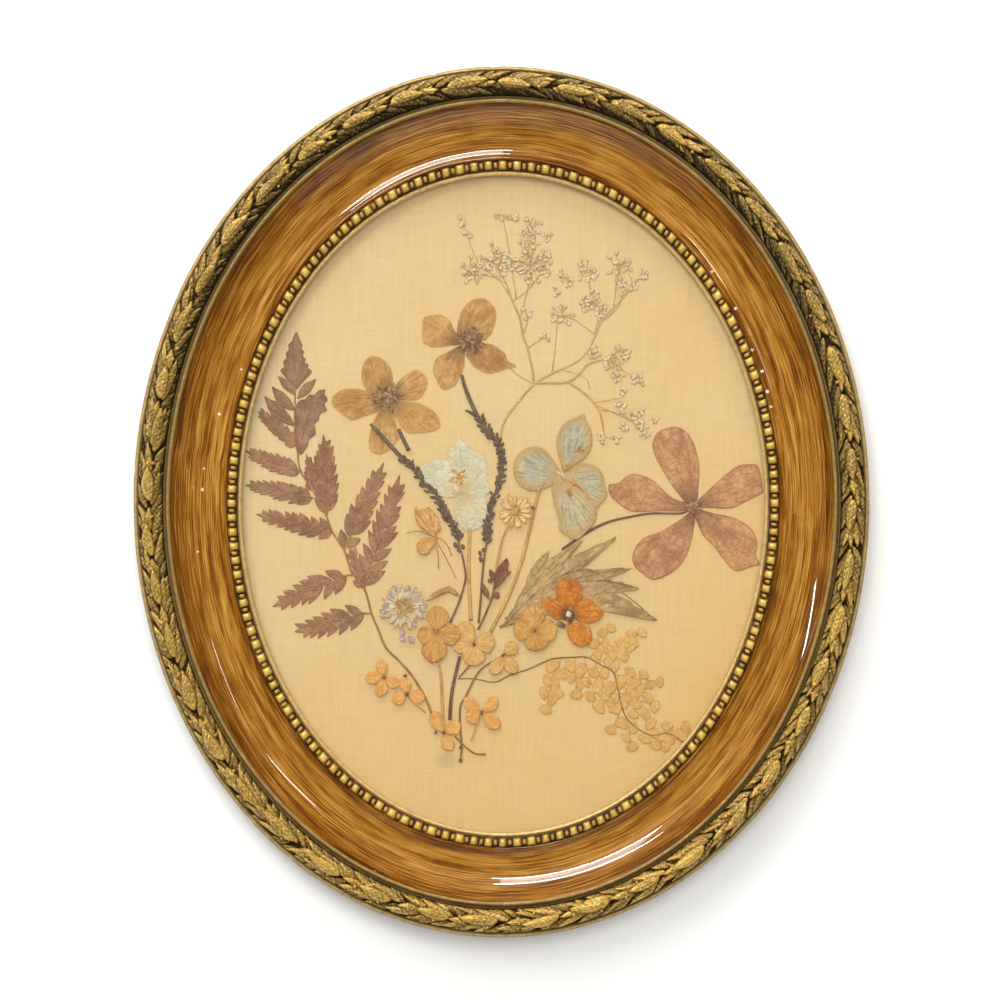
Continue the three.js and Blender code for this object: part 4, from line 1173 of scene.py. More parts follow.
# Stamens: small buds and fine threads scattered round a centre.
def stamens(centre, radius, count, size, layer, lift, finish, threads=0):
    parts = []
    for _ in range(count):
        turn, far = plantDice.uniform(0, 6.28), radius * math.sqrt(plantDice.uniform(0, 1))
        spot = pointFrom(centre, turn, far)
        parts.append(bud(spot, size * plantDice.uniform(0.7, 1.3), layer, lift, None, finish, turn, 1.5, 8,
                         0.16))
    for _ in range(threads):
        turn, far = plantDice.uniform(0, 6.28), radius * plantDice.uniform(0.8, 1.5)
        parts.append(stem([centre, pointFrom(centre, turn, far)], [0.9, 0.7], layer, lift, None, finish, 5,
                          0.05))
    return parts


# Petals stacked so that each later one lies a little higher than the one before.
def petals(outlines, base, layer, step=0.035, **settings):
    return [petal(outline, base, layer, step * i, **settings) for i, outline in enumerate(outlines)]


for side in ("right", "left"):
    parts = petals(amber[side], amber[side + "Centre"], 0, ragged=0.02, thick=0.05, sides=60)
    where = amber.get(side + "Stamens", amber[side + "Centre"])
    parts += stamens(where, 12, 64, 1.3, 0, 0.2, 1, 60) + stamens(where, 5, 16, 1.4, 0, 0.3, 1)
    pressPiece("amber_flower_" + side, parts, [amberFinish, stamenFinish])

pink = {
    "centre": (693.8, 509.5),
    "petals": [
        [(692, 512), (671.4, 487), (660.7, 469.3), (653.6, 455), (652.7, 444.3), (658.9, 433.6), (675, 429.1),
         (687.5, 435.4), (694.6, 447.9), (699.1, 469.3), (698.2, 490.7), (696.4, 508)],
        [(694, 508), (714.3, 487), (735.7, 469.3), (750, 466.6), (758, 469.3), (762.5, 490.7), (760.7, 496),
         (746.4, 503.2), (730.4, 510.4), (710.7, 510)],
        [(694, 512), (714.3, 515.7), (733.9, 520.2), (750, 530), (757, 544.3), (755.4, 556.8), (759, 565.7),
         (750, 569.3), (735.7, 572.9), (726.8, 565.7), (714.3, 549.6), (701.8, 535.4)],
        [(694, 513), (692.9, 533.6), (685.7, 558.6), (671.4, 574.6), (653.6, 581.8), (641, 574.6),
         (633, 565.7), (633.9, 553.2), (642.9, 540.7), (660.7, 533.6), (678.6, 522.9)],
        [(692, 507), (671.4, 499.6), (651.8, 481.8), (632, 476.4), (617.9, 485.4), (608.9, 487),
         (610.7, 497.9), (625, 510.4), (635.7, 513.9), (660.7, 513), (683.9, 513)]],
    "stem": [(690, 511), (680.4, 515.6), (651.8, 515.7), (628.6, 519.3), (607.1, 524.6), (585.7, 535.4),
             (562, 552)],
}
pinkFinish = makeDryFinish(
    "dusty_pink_petals", bodies=[(192, 144, 98), (186, 136, 94), (194, 144, 94)], deep=(158, 106, 80),
    deepAmount=0.75, pale=(214, 170, 122), paleAmount=0.5, vein=(150, 100, 68), veinAmount=0.45,
    veinCount=14.0,
    rim=(156, 104, 66), rimFrom=0.92, rimAmount=0.6, throat=(104, 70, 56), throatReach=17.0, throatAmount=0.6,
    cloud=80.0, crinkle=0.9, net=260.0, netAmount=0.4)
purpleStemFinish = makeDryFinish(
    "dark_purple_stem", bodies=[(112, 78, 84), (98, 66, 74)], deep=(80, 52, 58), pale=(140, 104, 104))
pinkParts = petals(pink["petals"], pink["centre"], 0, 0.03, sides=64, rings=10, crease=0.12, ragged=0.008)
pinkParts.append(stem(pink["stem"], [1.8, 2.0, 2.6, 3.0], 0, 0.0, 0.5, 1))
pinkParts += stamens(pink["centre"], 6, 26, 1.5, 0, 0.2, 2, 10)
pressPiece("pink_flower", pinkParts, [pinkFinish, purpleStemFinish, stamenFinish])

blue = {
    "centre": (562, 480.6),
    "petals": [
        [(564, 474), (561, 465), (557, 451), (558, 436), (566, 424.5), (577.6, 419.4), (583.7, 415.8),
         (586.7, 423.5), (591.8, 435.7), (591.3, 449), (584.7, 460), (575.5, 466)],
        [(562, 480), (553, 462), (543, 451), (531, 449), (520, 455), (514, 465), (514, 477), (521, 488),
         (532, 493), (546, 490)],
        [(560, 482), (552, 490), (554, 505), (559, 522.5), (560, 532.7), (575.5, 541.8), (584.7, 535.7),
         (595, 523.5), (596, 510), (588.8, 498), (573.5, 487)],
        [(561, 480), (571.4, 471.4), (581.6, 465.3), (595, 468.4), (602, 475.5), (605, 487.8), (607, 497),
         (602, 504), (596, 510), (588, 498), (576.5, 488)]],
    "stem": [(545, 484), (538.9, 493.3), (532.2, 520.8), (522, 561.6), (509.8, 595.3), (490.4, 634.1)],
    "stamens": [(578.6, 453), (566.3, 469.4), (572.4, 484.7), (570.4, 494.9)],
}
blueFinish = makeDryFinish(
    "faded_blue_petals", bodies=[(182, 172, 140), (172, 168, 144), (192, 172, 132)],
    deep=(150, 154, 144), deepAmount=0.7, pale=(206, 180, 132), paleAmount=0.7, vein=(138, 126, 98),
    veinAmount=0.65, veinCount=18.0, rim=(186, 144, 88), rimFrom=0.56, rimAmount=0.9, throat=(196, 158, 100),
    throatReach=7.0, throatAmount=0.6, cloud=55.0, crinkle=0.7, net=300.0, netAmount=0.3)
tanStemFinish = makeDryFinish(
    "tan_stem", bodies=[(204, 158, 92), (212, 168, 100)], deep=(170, 122, 68), pale=(230, 194, 132),
    rim=(156, 108, 58), rimFrom=0.6, rimAmount=0.7, cloud=160.0)
orangeStamenFinish = makeDryFinish(
    "orange_stamens", bodies=[(206, 130, 52), (224, 160, 84), (190, 112, 44)], deep=(160, 90, 36))
whiteThreadFinish = makeDryFinish(
    "pale_threads", bodies=[(236, 226, 196), (224, 206, 166)], deep=(190, 164, 120), pale=(244, 238, 216))
blueParts = [stem(blue["stem"], [2.4, 3.0, 3.4], 1, 0.0, 0.5, 1)]
blueParts += petals(blue["petals"], blue["centre"], 1, 0.03, sides=56, rings=9, crease=0.1)
for spot in blue["stamens"]:
    blueParts += stamens(spot, 3.6, 7, 1.3, 1, 0.24, 2, 2)
blueParts += stamens((562, 478), 5, 5, 0.8, 1, 0.24, 3, 9)
pressPiece("blue_flower", blueParts, [blueFinish, tanStemFinish, orangeStamenFinish, whiteThreadFinish])

white = {
    "centre": (462, 496),
    "petals": [
        [(463, 497), (449, 480), (446.6, 460.9), (452, 449.6), (458.6, 439.8), (466, 445.4), (474.7, 453.9),
         (483, 456.7), (486, 470.7), (487.3, 486), (488.7, 496)],
        [(463.5, 496), (442.4, 498.8), (427, 486), (418.6, 472), (429.8, 463.7), (446.6, 461.6), (462, 462),
         (466, 478)],
        [(456.5, 498.8), (474.7, 496), (486, 498.8), (487.3, 522.6), (470.5, 533.8), (460.7, 528.2),
         (454.4, 514)],
        [(463.5, 462.3), (474, 459), (484.5, 458), (487.3, 478), (487.3, 497), (463.5, 497.3)]],
    "stem": [(470, 530), (469, 560), (469, 582), (471, 622.9)],
}
whiteFinish = makeDryFinish(
    "pale_green_petals", bodies=[(208, 192, 156), (200, 188, 156), (212, 196, 158)], deep=(182, 180, 156),
    deepAmount=0.7, pale=(222, 206, 170), paleAmount=0.7, vein=(180, 158, 116), veinAmount=0.4,
    veinCount=12.0,
    rim=(192, 184, 154), rimFrom=0.86, rimAmount=0.6, throat=(200, 160, 100), throatReach=10.0,
    throatAmount=0.6,
    cloud=70.0, crinkle=0.9, net=260.0, netAmount=0.12)
whiteParts = [stem(white["stem"], [3.2, 3.4, 3.6], 0, 0.0, 0.8, 1)]
whiteParts += petals(white["petals"], white["centre"], 0, 0.035, sides=52, rings=8, crease=0.12, ragged=0.01)
whiteParts += stamens((457.9, 479), 8, 16, 1.3, 0, 0.25, 2, 8) + stamens((456, 490), 5, 8, 1.2, 0, 0.25, 3, 6)
pressPiece("white_flower", whiteParts, [whiteFinish, tanStemFinish, orangeStamenFinish, whiteThreadFinish])

orange = {
    "centre": (568.8, 616.5),
    "petals": [
        [(568.8, 620), (573, 624.9), (584.2, 624.2), (589.8, 629.8), (591.9, 638.2), (588.4, 645.2),
         (581.4, 648.7), (571.6, 643.8), (567, 633)],
        [(568, 616), (561.7, 605), (553.3, 600.3), (541.4, 603.1), (543.5, 610), (553.3, 620),
         (560.3, 621.4)],
        [(570, 617), (577, 606), (588.4, 600.3), (598.2, 608.8), (603.1, 615.8), (596.8, 622.8),
         (588.4, 624.9), (577, 622)],
        [(568, 614), (560, 606), (556, 596), (559, 583.5), (568.8, 580.4), (578.6, 585), (582, 596),
         (577, 607)]],
}
orangeFinish = makeDryFinish(
    "orange_petals", bodies=[(202, 128, 50), (190, 112, 40), (208, 136, 60)], deep=(164, 84, 28),
    pale=(226, 166, 84), vein=(158, 82, 30), veinCount=12.0, rim=(178, 104, 42), rimFrom=0.88,
    throat=(110, 58, 34), throatReach=6.5, throatAmount=0.95, cloud=120.0)
brownDiscFinish = makeDryFinish(
    "brown_disc", bodies=[(104, 66, 42), (84, 52, 34), (128, 84, 52)], deep=(66, 40, 28), crinkle=0.7)
orangeParts = petals(orange["petals"], orange["centre"], 2, 0.03, sides=44, rings=7)
orangeParts += stamens(orange["centre"], 6.5, 26, 1.3, 2, 0.2, 1, 6)
orangeParts.append(bud(orange["centre"], 3.2, 2, 0.3, 0.5, 2, 0, 1, 10, 0.2))
orangeParts.append(bud((561, 627), 3.4, 2, 0.05, 0.3, 1, 0.5, 1.4))
pressPiece("orange_flower", orangeParts, [orangeFinish, brownDiscFinish, whiteThreadFinish])
print("broad flowers made")


# Florets

florets = {
    "hydrangea_floret_low_right": {"layer": 3, "centre": (535.1, 632.6), "petals": [
        ((532, 607), 22), ((513, 631), 21), ((557.5, 631), 21), ((536.5, 653), 23)]},
    "hydrangea_floret_left": {"layer": 3, "centre": (436.8, 633.7), "petals": [
        ((438.6, 608), 22), ((417.5, 638.5), 17), ((431.6, 664.5), 24), ((461.5, 637.5), 20)]},
    "hydrangea_floret_middle": {"layer": 2, "centre": (474, 645.6), "petals": [
        ((462, 624), 18), ((495, 642.5), 20), ((472.5, 668), 22), ((452, 648), 16)]},
    "hydrangea_floret_small": {"layer": 3, "centre": (503.5, 656.8), "petals": [
        ((491.5, 676), 13), ((516, 675), 13), ((517, 645), 13)]},
    "apricot_floret_1": {"layer": 2, "centre": (384.2, 679.3), "petals": [
        ((380.5, 661.5), 11), ((365, 681), 12), ((378.5, 698), 12), ((400.5, 686.5), 11)]},
    "apricot_floret_2": {"layer": 2, "centre": (407.3, 696.1), "petals": [
        ((403.5, 679), 12), ((392.5, 703), 13), ((425, 700), 13)]},
    "apricot_floret_3": {"layer": 2, "centre": (481.7, 714.3), "petals": [
        ((464.5, 699.5), 12), ((497.5, 699.5), 12), ((466.5, 722), 13), ((500, 729), 14)]},
    "apricot_floret_4": {"layer": 2, "centre": (444.5, 734.7), "petals": [
        ((433, 713), 14), ((460, 724), 14), ((451, 752), 13)]},
}
tanFloretFinish = makeDryFinish(
    "tan_florets", bodies=[(206, 157, 86), (196, 148, 80), (212, 164, 96)], deep=(180, 128, 64),
    deepAmount=0.5, pale=(220, 178, 112), vein=(166, 112, 54), veinAmount=0.75, veinCount=10.0,
    rim=(166, 108, 52), rimFrom=0.9, rimAmount=0.75, throat=(150, 98, 52), throatReach=3.4, throatAmount=0.7,
    cloud=120.0, net=620.0, netAmount=0.45)
paleFloretFinish = makeDryFinish(
    "pale_florets", bodies=[(214, 172, 108), (208, 164, 98)], deep=(194, 148, 84), deepAmount=0.4,
    pale=(226, 190, 128), vein=(176, 126, 68), veinAmount=0.6, veinCount=10.0, rim=(168, 114, 60),
    rimFrom=0.9, rimAmount=0.8, throat=(150, 98, 52), throatReach=3.0, throatAmount=0.6, net=620.0,
    netAmount=0.4)
apricotFinish = makeDryFinish(
    "apricot_florets", bodies=[(220, 166, 94), (212, 156, 86), (224, 174, 104)], deep=(198, 138, 70),
    deepAmount=0.45, pale=(232, 188, 122), vein=(190, 126, 64), veinAmount=0.65, veinCount=9.0,
    rim=(190, 124, 64), rimFrom=0.9, rimAmount=0.7, throat=(166, 104, 56), throatReach=2.4, throatAmount=0.8,
    cloud=140.0)
stalks = {"apricot_floret_2": [(409, 699), (425.6, 714.3)], "apricot_floret_3": [(480, 717), (471.2, 742.4)]}
extraBuds = {"apricot_floret_2": [(405.5, 677.6)], "apricot_floret_4": [(436, 734)]}
for name, floret in florets.items():
    isTan = name.startswith("hydrangea")
    centre = np.array(floret["centre"])
    parts = []
    for i, (tip, width) in enumerate(floret["petals"]):
        outline = lens(centre, tip, width * 1.04, 0.6, plantDice.uniform(-1, 1), 9, 0.66)
        parts.append(petal(outline, centre, floret["layer"], 0.03 * i, None, 0, 40, 6, 0.08, 0.05,
                           ragged=0.025))
    parts += stamens(floret["centre"], 1.8, 5, 0.8, floret["layer"], 0.15, 1, 3)
    if name in stalks:
        parts.append(stem(stalks[name], [1.6, 1.4], floret["layer"], 0.02, 0.5, 0, 6, 0.1))
    for spot in extraBuds.get(name, []):
        parts.append(bud(spot, 1.8, floret["layer"], 0.1, 0.3, 1))
    look = paleFloretFinish if name.endswith(("small",
                                              "middle")) else tanFloretFinish if isTan else apricotFinish
    pressPiece(name, parts, [look, brownDiscFinish])


# Ray flowers

aster = {
    "centre": (403.8, 609.8), "rays": 96, "strands": 90,
    # lilac ray ends: way round in degrees (clockwise from the right), how far out they reach, width
    "ends": [(-8, 24, 4), (4, 22, 4), (-26, 22, 3), (-58, 24, 4), (-84, 23, 5), (-112, 25, 4), (-140, 22, 4),
             (176, 25, 5),
             (164, 26, 4), (188, 22, 4), (96, 34, 6), (80, 36, 7), (88, 28, 5), (30, 22, 3), (60, 24, 3),
             (128, 20, 3)],
}
asterFinish = makeDryFinish(
    "cream_and_lilac_rays", bodies=[(226, 206, 168), (216, 192, 150), (208, 180, 134), (184, 162, 164),
                                    (150, 132, 168)],
    deep=(172, 144, 116), pale=(236, 224, 196), vein=(160, 132, 108), rim=(150, 122, 96), rimFrom=0.7,
    rimAmount=0.7, cloud=200.0)
strawFinish = makeDryFinish(
    "straw_disc", bodies=[(196, 156, 86), (178, 134, 68), (214, 180, 114)], deep=(140, 98, 48),
    pale=(228, 202, 144), crinkle=0.6)


# A ray from near the middle outwards: a narrow lens between two distances from the centre.
def ray(centre, turn, near, far, width, layer, lift, lot, finish, bend=1.0):
    start = pointFrom(centre, turn, near)
    end = pointFrom(centre, turn + plantDice.uniform(-0.12, 0.12), far)
    outline = lens(start, end, width, 0.6, plantDice.uniform(-bend, bend), 5, 0.8)
    return petal(outline, start, layer, lift, lot, finish, 12, 3, 0.03, 0.05)


asterParts = []
for i in range(aster["rays"]):
    turn = 2 * math.pi * (i + plantDice.uniform(-0.4, 0.4)) / aster["rays"]
    lot = plantDice.uniform(0.0, 0.55)
    asterParts.append(ray(aster["centre"], turn, 6, plantDice.uniform(15, 26), plantDice.uniform(1.6, 2.8), 2,
                          0.02 + 0.02 * (i % 4), lot, 0))
for degrees, far, width in aster["ends"]:
    asterParts.append(ray(aster["centre"], math.radians(degrees), far - 8, far, width, 2, 0.1,
                          plantDice.uniform(0.8, 1), 0))
for i in range(aster["strands"]):
    turn = plantDice.uniform(0, 2 * math.pi)
    near = plantDice.uniform(1, 7)
    asterParts.append(ray(aster["centre"], turn, near, near + plantDice.uniform(3, 7),
                          plantDice.uniform(0.9, 1.6), 2,
                          0.14 + 0.06 * plantDice.uniform(), plantDice.uniform(), 1, 0.6))
pressPiece("lilac_daisy", asterParts, [asterFinish, strawFinish])

daisy = {"centre": (515.4, 513.7), "outer": 19.0, "rays": 16, "stem": [
    (514, 520), (511.8, 524.9), (505.7, 533), (498.6, 557.6), (494.5, 588.2), (492.4, 600.4)]}
daisyFinish = makeDryFinish(
    "straw_rays", bodies=[(236, 200, 132), (228, 188, 120)], deep=(200, 150, 88), deepAmount=0.4,
    pale=(238, 204, 146), rim=(142, 96, 54), rimFrom=0.72, rimAmount=0.8, cloud=160.0)
daisyParts = [stem(daisy["stem"], [1.4, 1.8, 2.0], 2, 0.0, 0.5, 1, 6, 0.1)]
for i in range(daisy["rays"]):
    turn = 2 * math.pi * (i + plantDice.uniform(-0.2, 0.2)) / daisy["rays"]
    far = daisy["outer"] * plantDice.uniform(0.84, 1.02)
    daisyParts.append(ray(daisy["centre"], turn, 3.5, far, 4.6, 2, 0.02 * (i % 2), None, 0))
daisyParts += stamens(daisy["centre"], 3.4, 14, 1.1, 2, 0.14, 2)
daisyParts.append(bud((532.8, 510.1), 2.2, 2, 0.12, 0.5, 3))
pressPiece("small_daisy", daisyParts, [daisyFinish, tanStemFinish, strawFinish, purpleStemFinish])
print("florets and daisies made")


# Dark spikes

spikes = {
    "dark_spike_left": {
        "smooth": [(370.5, 425.9), (387.3, 444.2), (404.2, 462.4)],
        "buds": [(402, 460), (415.8, 472.1), (424.2, 486.1), (438.2, 498.8), (443.8, 514.2), (452.2, 526.8),
                 (459.3, 540)],
        "below": [(458, 534), (459.3, 549.3), (462, 556), (464.9, 570.3), (465.6, 581.5), (462, 595.6),
                  (457.8, 607.6),
                  (450.1, 624.9)],
        "single": [(455.5, 547), (463, 549), (459.3, 552.5)], "stubs": [], "count": 120, "spread": 4.8},
    "dark_spike_right": {
        "smooth": [(461.7, 376.8), (466, 392), (475.7, 414.7), (481, 424)],
        "buds": [(479, 420), (487, 431), (495.4, 441.4), (501, 455.4), (502.4, 474), (496, 493), (490.1, 517),
                 (487.3, 531), (488.7, 543)],
        "below": [(488.4, 538), (485.9, 549.3), (483.1, 570.3), (481, 598.4), (478.7, 624.9)],
        "single": [(480.2, 555.5), (480.7, 561.6), (484, 552)],
        "stubs": [[(476, 418.5), (470.5, 414.5), (465.5, 412.5)]],
        "count": 170, "spread": 5.0},
}
spikeFinish = makeDryFinish(
    "dark_buds", bodies=[(70, 60, 52), (96, 80, 66), (122, 104, 84), (88, 80, 74), (146, 124, 96)],
    deep=(52, 44, 38), deepAmount=0.6, pale=(150, 128, 102), paleAmount=0.4, rim=(60, 50, 42), rimFrom=0.6,
    rimAmount=0.5, cloud=240.0, crinkle=0.8)
greyStemFinish = makeDryFinish(
    "grey_green_stem", bodies=[(82, 84, 76), (92, 90, 80)], deep=(62, 60, 54), pale=(120, 114, 98),
    paleAmount=0.5)
brownStemFinish = makeDryFinish(
    "brown_stem", bodies=[(124, 98, 80), (108, 86, 72)], deep=(84, 64, 54), pale=(156, 126, 98))
walnutStemFinish = makeDryFinish(
    "walnut_stem", bodies=[(150, 108, 62), (136, 96, 58)], deep=(108, 74, 46), pale=(184, 140, 88))
for name, spike in spikes.items():
    parts = [stem(spike["smooth"], [3.0, 4.0, 4.4], 1, 0.02, 0.5, 1),
             stem(spike["buds"], [2.8, 1.8], 1, 0.0, 0.5, 1),
             stem(spike["below"], [2.2, 1.9, 2.2], 1, 0.0, 0.5, 2)]
    parts += [stem(path, [3.4, 2.0], 1, 0.04, 0.5, 1) for path in spike["stubs"]]
    line = smoothPath(spike["buds"], spike["count"])
    for i, spot in enumerate(line):
        ahead = line[min(i + 2, len(line) - 1)] - line[max(i - 2, 0)]
        side = np.array([-ahead[1], ahead[0]]) / np.linalg.norm(ahead)
        hand = plantDice.choice((-1, 1))
        far = plantDice.uniform(0.8, spike["spread"])
        where = spot + side * hand * far * (0.75 + 0.25 * math.sin(i * 0.7))
        slant = math.atan2(ahead[1], ahead[0]) + math.pi + hand * -plantDice.uniform(0.4, 0.95)
        parts.append(bud(where, plantDice.uniform(1.0, 1.5), 1, 0.05 + 0.12 * plantDice.uniform(), None, 0,
                         slant,
                         plantDice.uniform(1.7, 2.4), 8, 0.3))
    parts += [bud(spot, 2.0, 1, 0.08, None, 0, 1.2, 1.4, 8) for spot in spike["single"]]
    pressPiece(name, parts, [spikeFinish, greyStemFinish, brownStemFinish])
cutStem = stem([(398.6, 431), (404, 443), (409.1, 452.6)], [3.6, 4.2], 1, 0.0, 0.5)
pressPiece("cut_stem_end", [cutStem], [greyStemFinish])


# Gypsophila

gypsophila = {
    "twigs": [
        [(501, 441), (503.8, 424.5), (516.4, 406.3), (534, 386.4), (552.2, 375.2), (576.1, 364),
         (587.3, 352.8), (595.7, 337.3), (601.4, 323.3), (614, 309.3), (626.6, 295.2), (637.8, 281.2)],
        [(534, 386), (532.6, 372.4), (527, 348.6), (522.8, 335.9), (520, 320.5), (513, 303.7), (506, 285),
         (495, 262)],
        [(537, 385), (566.3, 384.3), (580.3, 375.2), (587, 367), (601, 362), (622, 358)],
        [(568, 384.3), (580.3, 392), (593.9, 405), (601, 418.4), (604, 438)]],
    "fine": [
        [(513, 303.7), (500, 283), (480, 266), (470, 245), (464, 228)],
        [(520, 320), (528, 290), (531, 262), (536, 232)], [(516, 300), (512, 270), (507, 240), (503, 220)],
        [(601, 323), (592, 300), (588, 276)], [(614, 309), (616, 290), (620, 270)],
        [(596, 337), (575, 322), (560, 318)], [(523, 336), (528, 322), (527, 315)],
        [(587, 353), (592, 356), (600, 358)], [(593, 405), (610, 402), (621, 400)],
        [(600, 412), (622, 415), (640, 414)], [(598, 408), (625, 420), (642, 428)],
        [(601, 362), (615, 368), (637, 381)], [(528, 350), (540, 342), (546, 338)],
        [(513, 303), (530, 290), (546, 268)], [(595, 337), (600, 315), (605, 304)],
        [(506, 285), (490, 278), (466, 276)], [(534, 386), (512, 372), (499, 350)],
        [(560, 371), (585, 380), (590, 392)], [(626, 295), (632, 285), (629, 276)], [(604, 438), (615, 442)],
        [(601, 323), (610, 318), (622, 303)], [(552, 375), (556, 345), (557, 320)]],
    # heads: middle, spread, how full; then how many buds that fullness makes and how much wider they spread
    "fullness": 2.7, "widening": 1.3,
    "clusters": [
        ((463, 222), 4, 3), ((466, 236), 3, 2), ((500, 216), 4, 2), ((513, 222), 4, 2), ((532, 230), 9, 6),
        ((547, 238), 3, 2), ((471, 272), 10, 10), ((495, 263), 12, 14), ((530, 264), 17, 24),
        ((563, 276), 3, 2), ((555, 294), 3, 2), ((568, 283), 3, 2), ((587, 273), 8, 7), ((618, 269), 11, 8),
        ((642, 276), 4, 3), ((627, 290), 6, 6), ((596, 309), 11, 11), ((527, 316), 4, 3), ((544, 339), 3, 2),
        ((562, 318), 8, 6), ((595, 356), 5, 4), ((623, 354), 7, 6), ((613, 364), 6, 5), ((618, 378), 4, 3),
        ((638, 382), 5, 4), ((621, 392), 3, 2), ((621, 410), 4, 4), ((630, 417), 4, 3), ((641, 414), 3, 2),
        ((653, 422), 3, 2), ((641, 428), 4, 4), ((625, 428), 3, 2), ((644, 436), 3, 2), ((602, 440), 4, 3),
        ((617, 442), 3, 2)],
}
twigFinish = makeDryFinish(
    "straw_twigs", bodies=[(216, 178, 116), (204, 162, 98), (224, 188, 126)], deep=(176, 132, 76),
    deepAmount=0.4, pale=(236, 206, 150))
puffFinish = makeDryFinish(
    "cream_puffs", bodies=[(236, 214, 168), (222, 194, 142), (244, 226, 186), (230, 204, 154)],
    deep=(170, 130, 76), deepAmount=0.6, pale=(250, 238, 208), paleAmount=0.6, rim=(158, 116, 64),
    rimFrom=0.7, rimAmount=0.7, cloud=420.0, crinkle=0.8, netAmount=0.0)
gypParts = [stem(path, [2.3, 1.9, 1.4], 0, 0.0, None, 0, 6, 0.12, 0.15) for path in gypsophila["twigs"]]
gypParts += [stem(path, [1.1, 0.8], 0, 0.02, None, 0, 5, 0.08, 0.2) for path in gypsophila["fine"]]
for centre, spread, count in gypsophila["clusters"]:
    for _ in range(round(count * gypsophila["fullness"])):
        turn = plantDice.uniform(0, 6.28)
        far = (gypsophila["widening"] * spread + 1) * math.sqrt(plantDice.uniform(0, 1))
        spot = pointFrom(centre, turn, far)
        gypParts.append(stem([centre, spot], [0.6, 0.5], 0, 0.01, None, 0, 4, 0.05))
        for _ in range(2):
            shift = plantDice.uniform(-1.3, 1.3, 2)
            gypParts.append(bud((spot[0] + shift[0], spot[1] + shift[1]), plantDice.uniform(1.3, 2.0), 0,
                                0.08 * plantDice.uniform(), None, 1, plantDice.uniform(0, 3.1), 1.15, 8, 0.3))
pressPiece("gypsophila_spray", gypParts, [twigFinish, puffFinish])
print("spikes and gypsophila made")


# Maidenhair

maidenhair = {
    "stem": [
        (457.9, 680.7), (474.7, 680.7), (494.3, 684.2), (508.4, 677.9), (528, 671.2), (542.1, 664.9),
        (553.3, 660.7), (573, 659.3), (587, 659.3), (601, 667), (613.7, 674.7), (617.9, 691.5),
        (626.3, 719.6), (648.7, 736.4), (668.4, 735), (682.4, 743.5)],
    "spacing": 7.4,
    # where each row of leaflets leaves the stem and where it ends
    "rows": [
        ((590, 660), (608, 634)), ((598, 665), (638, 637)), ((606, 670), (630, 648)),
        ((613, 676), (655, 683)), ((614, 680), (636, 690)), ((556, 661), (547, 706)),
        ((560, 661), (558, 690)), ((575, 660), (576, 691)), ((584, 660), (596, 702)),
        ((594, 663), (612, 706)), ((617, 690), (603, 706)), ((619, 694), (650, 706)),
        ((620, 698), (646, 722)), ((623, 708), (613, 727)), ((626, 718), (631, 743)),
        ((644, 733), (662, 746)), ((655, 736), (680, 730)), ((668, 735), (684, 746))],
}
maidenFinish = makeDryFinish(
    "tan_fan_leaflets", bodies=[(214, 168, 98), (206, 160, 92), (218, 176, 108)], deep=(184, 136, 74),
    deepAmount=0.5, pale=(226, 190, 126), paleAmount=0.35, vein=(178, 130, 72), veinAmount=0.4, veinCount=5.0,
    rim=(170, 120, 62), rimFrom=0.8, rimAmount=0.65, cloud=130.0)


# A fan leaflet: a pinched base and a round, scalloped blade that is half the size in radius.
def fanOutline(base, heading, size):
    turn = np.linspace(-2.35, 2.35, 11)
    far = size * 0.5 * (1 + 0.07 * np.cos(turn * 5))
    middle = pointFrom(base, heading, 0.55 * size)
    ring = np.stack([np.cos(heading + turn), np.sin(heading + turn)], -1)
    arc = np.array(middle) + ring * (far * 0.8)[:, None]
    across = np.array([-math.sin(heading), math.cos(heading)])
    arc += across * (0.22 * size * np.sin(turn))[:, None]
    return np.concatenate([[base], arc])


maidenParts = [stem(maidenhair["stem"], [1.1, 1.4, 1.2, 0.9], 0, 0.12, 0.5, 1, 6, 0.1)]
for start, end in maidenhair["rows"]:
    start, end = np.array(start, float), np.array(end, float)
    maidenParts.append(stem([start, end], [0.8, 0.6], 0, 0.0, 0.4, 0, 5, 0.06))
    heading = math.atan2(end[1] - start[1], end[0] - start[0])
    long = np.linalg.norm(end - start)
    count = int(long / maidenhair["spacing"])
    for i in range(count + 1):
        spot = start + (end - start) * (0.16 + 0.84 * i / max(1, count))
        hand = 0 if i == count else (-1) ** i
        lean = heading + hand * plantDice.uniform(0.95, 1.35)
        outline = fanOutline(spot, lean, plantDice.uniform(9.0, 11.0))
        lift = 0.02 + 0.05 * plantDice.uniform()
        maidenParts.append(petal(outline, spot, 0, lift, None, 0, 22, 4, 0.06, 0.08, ragged=0.03))
pressPiece("maidenhair_sprig", maidenParts, [maidenFinish, walnutStemFinish])


# Leaves, stems and small pieces

toothed = {
    # each finger: base, tip, width, where it is widest, how far it bends
    "fingers": [
        ((500, 630), (657, 623.5), 16, 0.6, 30), ((502, 627), (641, 591), 18, 0.58, 17),
        ((505, 622), (631, 571), 18, 0.5, 9), ((508, 618), (617, 539.5), 18, 0.45, 3),
        ((516, 606), (583, 542), 15, 0.45, 2), ((522, 596), (567, 552), 12, 0.45, 1),
        ((526, 590), (549, 553), 9, 0.45, 1), ((530, 604), (596, 576), 22, 0.5, 4),
        ((510, 618), (560, 580), 18, 0.55, 3)],
    "ribs": [
        [(500, 629.8), (530, 601), (562, 578), (590, 572), (617, 590), (657, 623)],
        [(530, 601), (552, 578), (580, 545)], [(545, 590), (575, 570), (614, 541)],
        [(560, 586), (596, 576), (629, 571)], [(575, 584), (606, 583), (638, 590)],
        [(522, 606), (536, 585), (549, 556)]],
}
